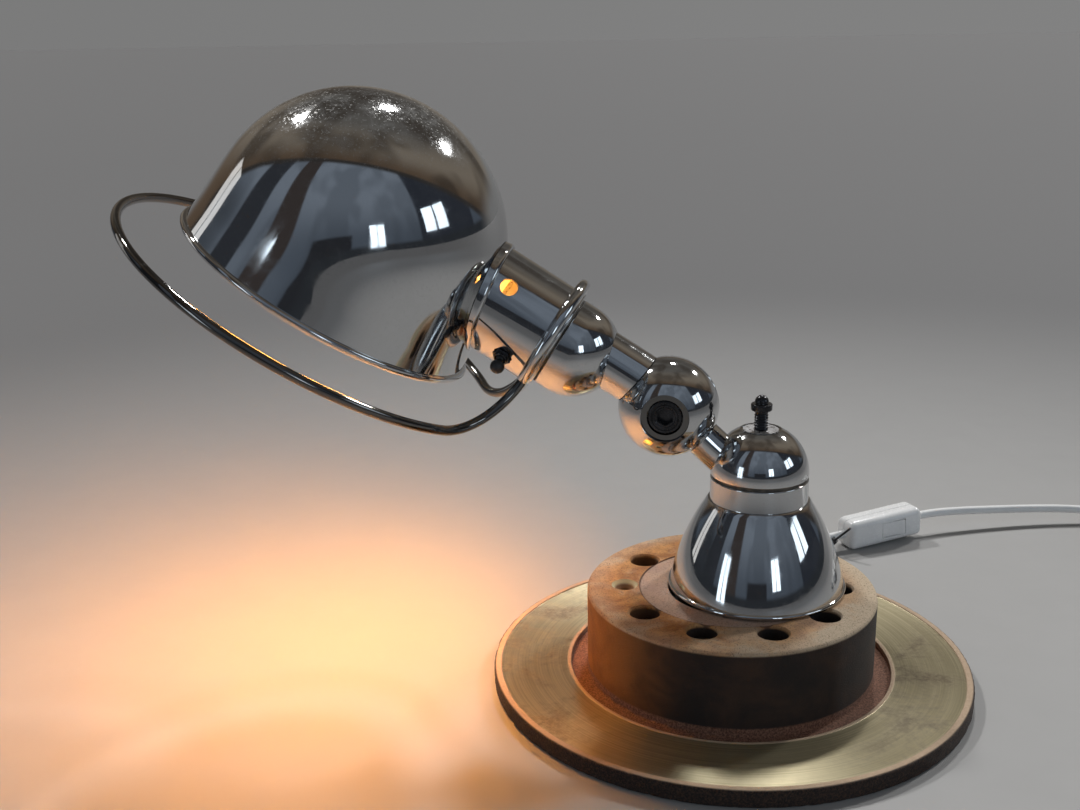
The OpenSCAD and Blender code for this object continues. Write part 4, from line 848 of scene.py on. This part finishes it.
# %% Knuckle bolt
BOLT_TOP, KEY_R, KEY_DEPTH = 20.6, 4.62, 9.4
bolt = spun(
    "bolt_head", FRONT,
    [(0, 11.2)] + arc((8.4, 11.5), 0.3, -90, 0, 30) + arc((8.0, 19.9), 0.7, 0, 90, 15)
    + [(7.1, BOLT_TOP), (6.9, 20.2), (6.5, 20.2), (6.3, BOLT_TOP), (5.4, BOLT_TOP)]
    + [(5.0, 20.25), (0, 20.25)], 96, closed=False)
bm = bmesh.new()
bmesh.ops.create_cone(bm, cap_ends=True, segments=6, radius1=KEY_R, radius2=KEY_R, depth=KEY_DEPTH,
                      matrix=shift(0, 0, BOLT_TOP))
carve(bolt, as_piece(bm, "key_hole", FRONT))
dress(bolt, "shoulder", "black_steel", "knuckle_bolt")
print("bolt faces:", len(bolt.data.polygons))

# %% Clamp screw
THREAD_PITCH = 1.4
threads = [point for k in range(6)
           for point in ((3.6, 137.0 + k * THREAD_PITCH), (3.25, 137.7 + k * THREAD_PITCH))]
clamp = spun(
    "clamp_thumbscrew", BELL,
    [(0, 123), (3, 123), (3, 136.4)] + threads + [(3.6, 145.6), (3.6, 146.6)]
    + arc((4.9, 147.2), 0.6, -90, 0, 15) + arc((4.9, 149.5), 0.6, 0, 90, 15)
    + [(3.2, 150.1), (3.1, 150.5)] + arc((0, 150.9), 3.6, 0, 90, 6), 64, closed=False)
dress(clamp, "thumb", "black_steel", "clamp_screw")
print("screw faces:", len(clamp.data.polygons))

# %% [markdown]
# ## Toggle
# The lamp's own switch is a small toggle: a threaded bush, a flat nut on the socket, and a lever with a
# ball end. A lathe with only six steps makes the nut, and the lever leans ten degrees, which is its place
# when the lamp is on.

# %% Toggle
LEVER_Z, LEVER_LEAN = 29, 10
ridges = [point for k in range(2) for point in ((3.7, 29.5 + k * 0.45), (3.45, 29.72 + k * 0.45))]
bush = spun("toggle_sleeve", TOGGLE,
            [(3.0, 25.8), (3.7, 25.8), (3.7, 29.3)] + ridges + [(3.6, 30.4), (3.0, 30.4)], 64)
dress(bush, "head", "black_steel", "toggle_bush")
nut = spun("toggle_nut", TOGGLE,
           [(3.66, 27.7), (4.9, 27.7), (5.2, 28.0), (5.2, 29.0), (4.9, 29.3), (3.66, 29.3)], 6)
dress(nut, "head", "black_steel")
lever = spun("toggle_stick", TOGGLE @ shift(0, 0, LEVER_Z) @ turn(LEVER_LEAN, "Y"),
             arc((0, 0), 2.6, -90, 52, 8) + [(1.68, 2.6), (1.9, 3.0)] + arc((0, 5.9), 3.7, -52, 90, 6),
             64, closed=False)
dress(lever, "toggle", "black_plastic", "toggle_lever")
print("toggle faces:", len(bush.data.polygons), len(nut.data.polygons), len(lever.data.polygons))

# %% [markdown]
# ## Bulb
# The glass is blown round with a short neck. It is one profile, because a sphere on a cylinder would have
# a crease where the real glass flows. Its finish glows, and the light on the table comes from it.

# %% Bulb
BULB_R, BULB_Z, BULB_FOOT = 30, 152.55, 103.6
swell = arc((0, BULB_Z), BULB_R, -48, 90, 3)
throat = [(0, BULB_FOOT), (15, BULB_FOOT), (15, 114), (15.35, 118), (16.3, 122), (17.9, 126)]
bulb = spun("lit_bulb", SOCKET, throat + swell, 96, closed=False)
dress(bulb, "head", "bulb_glass", "bulb_glass")
print("bulb faces:", len(bulb.data.polygons))

# %% [markdown]
# ## Strain relief
# A ribbed sleeve of soft white plastic keeps the cord from bending sharply at the bell. A bump could draw
# the ribs, but they would vanish at the outline, so they are rings of the profile, smaller towards the
# tip.

# %% Strain relief
RIBS, RIB_PITCH, RIB_DEEP = 8, 2.9, 0.75
ribs = []
for k in range(RIBS):
    z = 4.0 + k * RIB_PITCH
    r = 5.3 - (z - 2) * 1.55 / 26
    ribs += [(r, z), (r, z + 1.6), (r - RIB_DEEP, z + 1.85), (r - RIB_DEEP, z + 2.6)]
relief = spun(
    "ribbed_relief", RELIEF,
    [(0, -5.1), (6, -5.1), (6, -3.3), (4.75, -3.2), (4.75, 0.5)] + arc((6.4, 1.1), 0.6, -90, 0, 30)
    + arc((6.4, 2.4), 0.6, 0, 90, 30) + ribs + [(3.75, 27.4), (3.4, RELIEF_L), (0, RELIEF_L)],
    64, closed=False)
dress(relief, "base", "white_plastic", "strain_relief")
print("relief faces:", len(relief.data.polygons))

# %% [markdown]
# ## Cord switch
# The switch is moulded in two halves with a fine parting line, and a rocker stands in a window of its
# face. A cube with bevelled edges makes the whole form, and a plane cuts it in two, so that both halves
# share their corners.


# %% Boxes and slabs
def block(middle, size):
    """A box round a middle point."""
    bm = bmesh.new()
    bmesh.ops.create_cube(bm, size=1.0, matrix=shift(*middle) @ Matrix.Diagonal((*size, 1)))
    return bm


def soften(bm, offset, segments):
    """Rounds every edge."""
    bmesh.ops.bevel(bm, geom=bm.edges[:], offset=offset, offset_type="OFFSET", affect="EDGES",
                    segments=segments, profile=0.5, material=-1)


def pull(bm, reach):
    """Extrudes the flat faces of a bmesh into a solid."""
    pushed = bmesh.ops.extrude_face_region(bm, geom=bm.faces[:])
    moved = [v for v in pushed["geom"] if isinstance(v, bmesh.types.BMVert)]
    bmesh.ops.translate(bm, vec=reach, verts=moved)
    bmesh.ops.recalc_face_normals(bm, faces=bm.faces)


# %% Switch halves
SWITCH_W, SWITCH_H, SWITCH_EDGE, PARTING = 19.5, 19, 4.6, (9.3, 9.7)
ROCKER_X, WINDOW = 5, (18.8, 10.8)
SWITCH = SWITCH_LINE @ shift(SWITCH_L / 2, 0, 0) @ turn(90, "X") @ shift(0, 0, -SWITCH_H / 2)


def switch_half(name, low, high):
    bm = block((0, 0, SWITCH_H / 2), (SWITCH_L, SWITCH_W, SWITCH_H))
    soften(bm, SWITCH_EDGE, 7)
    for height, up in ((low, -1), (high, 1)):
        whole = bm.verts[:] + bm.edges[:] + bm.faces[:]
        bmesh.ops.bisect_plane(
            bm, geom=whole, plane_co=(0, 0, height), plane_no=(0, 0, up), clear_outer=True)
        bmesh.ops.holes_fill(bm, edges=[e for e in bm.edges if e.is_boundary], sides=0)
    return as_piece(bm, name, SWITCH)


switch_base = switch_half("switch_back", -1, PARTING[0])
switch_cover = switch_half("switch_front", PARTING[1], 20)
carve(switch_cover, as_piece(block((ROCKER_X, 0, 15), (*WINDOW, 20)), "rocker_window", SWITCH))
carve(switch_base, as_piece(block((ROCKER_X, 0, 8), (*WINDOW, 11)), "rocker_well", SWITCH))
dress(switch_base, "base", "white_plastic", "switch_base")
dress(switch_cover, "base", "white_plastic", "switch_cover")
print("switch faces:", len(switch_base.data.polygons), len(switch_cover.data.polygons))

# %% Rocker
ROCKER_W, ROCKER_Z, ROCKER_LEAN = 10, 14.6, -7
corners = ((-8.4, 1), (-8.4, 5.4), (-4, 4.35), (0, 4.2), (4, 4.35), (8.4, 5.4), (8.4, 1), (3, -3), (-3, -3))
bm = bmesh.new()
bm.faces.new([bm.verts.new((x, -ROCKER_W / 2, z)) for x, z in corners])
pull(bm, (0, ROCKER_W, 0))
soften(bm, 0.5, 3)
rocker = as_piece(bm, "rocker_key", SWITCH @ shift(ROCKER_X, 0, ROCKER_Z) @ turn(ROCKER_LEAN, "Y"))
dress(rocker, "rocker", "white_plastic", "switch_rocker")
print("rocker faces:", len(rocker.data.polygons))

# %% [markdown]
# ## Plug and the coil's tie
# The flat plug is moulded round its pins, which are sleeved next to the body. The tie is a band of black
# webbing round the coil: two outlines bridged to a ring and pulled out to the band's width.

# %% Plug
PIN_SIDES, PLUG_L, PLUG_T = (-9.3, 9.3), 36, 2 * PLUG_Z
PLUG = shift(COIL_CENTRE[0] + COIL_OUTER, COIL_CENTRE[1] - TAIL_L, PLUG_Z) @ turn(-90, "Z")
flank = [(0, 5), (10, 6.5), (30, 17.65), (PLUG_L, 17.65)]
corners = [(x, -y) for x, y in flank] + flank[::-1]
bm = bmesh.new()
bm.faces.new([bm.verts.new((x, y, -PLUG_Z)) for x, y in corners])
pull(bm, (0, 0, PLUG_T))
soften(bm, 2.2, 5)
plug = as_piece(bm, "moulded_plug", PLUG)
for across in PIN_SIDES:
    drill(plug, "pin_hole", PLUG @ shift(28, across, 0) @ turn(90, "Y"), 1.95, 9, 32)
dress(plug, "base", "white_plastic", "plug_body")
print("plug faces:", len(plug.data.polygons))

# %% Plug pins
sleeves, tips = [], []
for across in PIN_SIDES:
    at_face = PLUG @ shift(PLUG_L, across, 0) @ turn(90, "Y")
    sleeve = spun("pin_sleeve", at_face, [(0, -7.9), (1.85, -7.9), (1.85, 10), (0, 10)], 40, closed=False)
    tip = spun("pin_tip", at_face, [(0, 10.02), (2, 10.02), (2, 17.6)] + arc((0.8, 17.8), 1.2, 0, 90, 15),
               40, closed=False)
    sleeves.append(dress(sleeve, "base", "black_plastic"))
    tips.append(dress(tip, "base", "steel", "plug_pins"))
print("pins:", len(tips), "sleeves:", len(sleeves))

# %% Coil tie
BAND_THICK, BAND_LONG, TIE_AT = 0.7, 6, 215
band_w = COIL_TURNS * COIL_PITCH + CORD_D + 2 * CLIMB_DIP + 0.7
band_h = COIL_PITCH + CORD_D + 0.6


def plate_outline(width, height, corner):
    ways = ((-1, -1), (1, -1), (1, 1), (-1, 1))
    return rounded([(x * width / 2, y * height / 2, corner) for x, y in ways])


bm = bmesh.new()
loops = []
for grow, corner in ((2 * BAND_THICK, 3), (0, 2.4)):
    outline = plate_outline(band_w + grow, band_h + grow, corner)
    points = [bm.verts.new((x, y, -BAND_LONG / 2)) for x, y in outline]
    loops += [bm.edges.new(pair) for pair in zip(points, points[1:] + points[:1])]
bmesh.ops.bridge_loops(bm, edges=loops)
pull(bm, (0, 0, BAND_LONG))
across_turns = shift(COIL_OUTER - COIL_TURNS * COIL_PITCH / 2, 0, band_h / 2 + BAND_THICK)
tie_place = shift(*COIL_CENTRE, 0) @ turn(TIE_AT, "Z") @ across_turns @ turn(90, "X")
coil_tie = as_piece(bm, "coil_band", tie_place)
dress(coil_tie, "base", "black_plastic", "coil_tie", finish=SLOT_FINISH["fibre"])
print("tie faces:", len(coil_tie.data.polygons))

# %% [markdown]
# ## Brake disc
# A worn disc: cast, machined, then ground by the pads. Its section is turned in one spin. The rim is
# broken up a little, as rust does, by a noise that is the same each run, and the wheel's holes are
# drilled with a tool that is wider at the top, which leaves a worn edge.

# %% Brake disc: the section and its eaten rim
DISC_R, DISC_T, HAT_R, HAT_H, HAT_IN_R, HAT_UNDER = 126.5, 9.0, 75.8, 50.3, 68.8, 43.0
LIP_R, GROOVE_R, GROOVE_Z, SPIGOT_R, BORE_R, STEP = DISC_R - 4, 84.8, 5.5, 48, 32.5, 0.5
EATEN, DISC_CREASE = 0.9, 35
bm = lathe(rounded([
    (HAT_IN_R, 0, 0), (DISC_R, 0, 1.2), (DISC_R, DISC_T, 1.2), (LIP_R, DISC_T, 0.2),
    (LIP_R, DISC_T - STEP, 0.2), (GROOVE_R, DISC_T - STEP, 0.5), (GROOVE_R, GROOVE_Z, 0.8),
    (HAT_R, GROOVE_Z, 1.2), (HAT_R, HAT_H, 1.6), (SPIGOT_R, HAT_H, 0.2), (SPIGOT_R, HAT_H - STEP, 0.2),
    (BORE_R, HAT_H - STEP, 1.2), (BORE_R, HAT_UNDER, 0.6), (HAT_IN_R, HAT_UNDER, 4)], 22.5), 288)
upright = [e for e in bm.edges if e.calc_length() > 4 and min(v.co.xy.length for v in e.verts) > DISC_R - 0.1
           and abs(e.verts[0].co.z - e.verts[1].co.z) > 4]
bmesh.ops.subdivide_edges(bm, edges=upright, cuts=4)
for vert in bm.verts:
    if vert.co.xy.length > DISC_R - 1.3:
        eaten = 0.5 + 0.35 * noise.noise(vert.co * 0.3) + 0.35 * noise.noise(vert.co * 0.9)
        vert.co.xy *= 1 - EATEN * max(eaten, 0) ** 2 / DISC_R
disc = as_piece(bm, "worn_disc", crease=DISC_CREASE)
print("disc faces before drilling:", len(disc.data.polygons))

# %% Brake disc: its holes
HOLES, SCREW_HOLE_AT, HOLE_CIRCLE_R, FIRST_HOLE = 10, 1, 56, 150
WHEEL_HOLE = [(7.75, HAT_H - 0.9), (8.7, HAT_H + 0.1), (8.7, HAT_H + 5)]
SCREW_HOLE = [(3.3, HAT_H - 3.7), (7.4, HAT_H + 0.4), (7.4, HAT_H + 5)]
for k in range(HOLES):
    hole = SCREW_HOLE if k == SCREW_HOLE_AT else WHEEL_HOLE
    outline = [(0, HAT_UNDER - 9), (hole[0][0], HAT_UNDER - 9)] + hole + [(0, HAT_H + 5)]
    place = turn(FIRST_HOLE + 360 / HOLES * k, "Z") @ shift(HOLE_CIRCLE_R, 0, 0)
    carve(disc, spun("wheel_hole", place, outline, 48, closed=False), DISC_CREASE)
dress(disc, "base", "rusty_iron", "brake_disc")
print("brake disc faces:", len(disc.data.polygons))

# %% [markdown]
# ## Light and floor
# Chrome has no colour of its own, so the room that it mirrors matters as much as the plating. A pale
# floor, three small lamps overhead, a blue-grey wall, brown paper above and a few windows stand for a
# plain studio. The world grows pale towards the back, so that the floor has no hard horizon behind the
# lamp.

# %% Floor
FLOOR_HALF, FLOOR_DROP, PAINTED_POOL_FADE = 40000.0, -0.2, (0.2, 1.1)
bm = bmesh.new()
bmesh.ops.create_grid(bm, x_segments=2, y_segments=2, size=FLOOR_HALF)
floor = as_piece(bm, "floor", shift(0, 0, FLOOR_DROP))
paper, tree, shader, vector = new_finish("pale_floor", Roughness=0.75)
worn = use_group(tree, graining, Vector=vector, Scale=30.0)
near = blend(tree, worn["Tone"], (0.37, 0.364, 0.354), (0.40, 0.393, 0.383))
# The floor darkens with distance from the lamp: a painted pool of studio light.
reach = gauge(tree, "LENGTH", vector)
join(tree, shader, Base_Color=shades(tree, reach, *PAINTED_POOL_FADE, near, (0.150, 0.150, 0.152)))
floor.data.materials.append(paper)
print("floor half width in mm:", FLOOR_HALF)

# %% Lamps
LAMP_STRENGTH, LAMP_ANGLE, LAMP_AWAY = 1.0, 5, 3
LAMP_FROM = {
    "lamp_left": (-0.499, 0.392, 0.773),
    "lamp_middle": (0.037, 0.647, 0.762),
    "lamp_right": (0.513, 0.616, 0.598),
}


def lamp_object(name, lamp, place, aim):
    thing = bpy.data.objects.new(name, lamp)
    facing = (Vector(aim) - place).to_track_quat("-Z", "Y").to_matrix().to_4x4()
    thing.matrix_world = Matrix.Translation(place) @ facing
    bpy.context.scene.collection.objects.link(thing)


for name, place in LAMP_FROM.items():
    lamp = bpy.data.lights.new(name, "SUN")
    lamp.energy = LAMP_STRENGTH
    lamp.angle = math.radians(LAMP_ANGLE)
    lamp_object(name, lamp, Vector(place) * LAMP_AWAY, (0, 0, 0))
print("lamps:", list(LAMP_FROM))

# %% Windows
WINDOW_AWAY, ROOM_MIDDLE = 2.2, Vector((-0.15, 0, 0.2))
DAYLIGHT, PAPER_WHITE = (0.75, 0.88, 1.0), (1.0, 0.98, 0.95)


def window(name, towards, width, height, radiance, tint=DAYLIGHT):
    """Two panes side by side, at the end of a direction."""
    middle = Vector(towards).normalized() * WINDOW_AWAY + ROOM_MIDDLE
    across = middle.cross(UP).normalized()
    for side, letter in ((-1, "_a"), (1, "_b")):
        pane = bpy.data.lights.new(name + letter, "AREA")
        pane.shape = "RECTANGLE"
        pane.size, pane.size_y = width * 0.46, height
        pane.energy = radiance * math.pi * pane.size * pane.size_y
        pane.color = tint
        lamp_object(pane.name, pane, middle + across * (side * width * 0.27), ROOM_MIDDLE)


window("window_left", (-0.66, -0.74, 0.12), 0.45, 0.95, 2.6)
window("window_middle", (0.52, -0.83, 0.2), 0.40, 0.6, 3.0)
window("window_right", (0.93, -0.16, 0.3), 0.75, 0.6, 2.4)
window("strip_left", (-0.948, 0.243, 0.23), 0.5, 1.15, 0.9, PAPER_WHITE)
print("lights in all:", len(bpy.data.lights))

# %% World: the wall and what stands before it
SHADE_TONE = (0.030, 0.034, 0.040)
world = bpy.data.worlds.new("room")
bpy.context.scene.world = world
world.use_nodes = True
tree = world.node_tree
background = next(n for n in tree.nodes if n.type == "BACKGROUND")
gaze = put(tree, "ShaderNodeTexCoord", out="Generated")
axes = put(tree, "ShaderNodeSeparateXYZ", {"Vector": gaze})
side, away, rise = axes.node.outputs
bearing = sums(tree, "ARCTAN2", away, side)


def upright_at(middle, half):
    """A mask for an upright stretch of the room, round a bearing in degrees."""
    off = sums(tree, "ABSOLUTE", sums(tree, "SUBTRACT", bearing, math.radians(middle)))
    return band(tree, off, math.radians(half), math.radians(half + 2), 1.0, 0.0)


stretched = put(tree, "ShaderNodeVectorMath", {0: gaze, 1: (2.6, 2.6, 0.7)}, operation="MULTIPLY")
shapes = noise_at(tree, stretched, 1.6, 1.0, 0.4)
room = shades(tree, rise, 0.1, 0.65, (0.085, 0.105, 0.135), (0.20, 0.235, 0.285))
cupboard = times(tree, upright_at(-88, 12), band(tree, rise, 0.20, 0.23, 1.0, 0.0))
stands = (
    (band(tree, shapes, 0.42, 0.60, 0.0, 0.4), (0.06, 0.073, 0.092)),
    (upright_at(-125, 8), (0.05, 0.042, 0.04)),
    (upright_at(-158, 9), (0.034, 0.038, 0.046)),
    (upright_at(2, 24), (0.030, 0.035, 0.046)),
    (band(tree, side, -0.96, -0.86, 0.9, 0.0), SHADE_TONE),
    (cupboard, (0.026, 0.028, 0.033)),
)
for mask, tone in stands:
    room = blend(tree, mask, room, tone)
room = shades(tree, rise, 0.05, 0.10, SHADE_TONE, room)
print("things in the room:", len(stands))

# %% World: the paper overhead and the pale back
overhead = sums(tree, "ADD", rise, times(tree, away, 0.8))
paper_tone = shades(tree, overhead, 0.64, 0.9, (0.115, 0.080, 0.054), (0.225, 0.19, 0.15))
paper_tone = shades(tree, overhead, 0.9, 1.2, paper_tone, (0.125, 0.118, 0.108))
folds = noise_at(tree, gaze, 2.3, 1.0, 0.5, 0.3)
paper_tone = blend(tree, band(tree, folds, 0.42, 0.62, 0.0, 0.7), paper_tone, (0.046, 0.036, 0.028))
room = shades(tree, overhead, 0.55, 0.60, room, (0.040, 0.037, 0.035))
room = shades(tree, overhead, 0.61, 0.65, room, paper_tone)
pale = times(tree, band(tree, away, 0.55, 0.85), band(tree, rise, 0.05, 0.22, 1.0, 0.0))
pale_tone = shades(tree, side, -0.55, 0.22, (0.198, 0.198, 0.197), (0.2215, 0.2215, 0.2205))
join(tree, background, Color=blend(tree, pale, room, pale_tone))
bpy.context.scene.view_settings.view_transform = "Standard"
print("world nodes:", len(tree.nodes))

# %% [markdown]
# ## Measuring the cord, and the end
# The length of each cord is measured once more at the end.

# %% Finish
round(curve_length(lead_cord), 3)
round(curve_length(main_cord), 3)
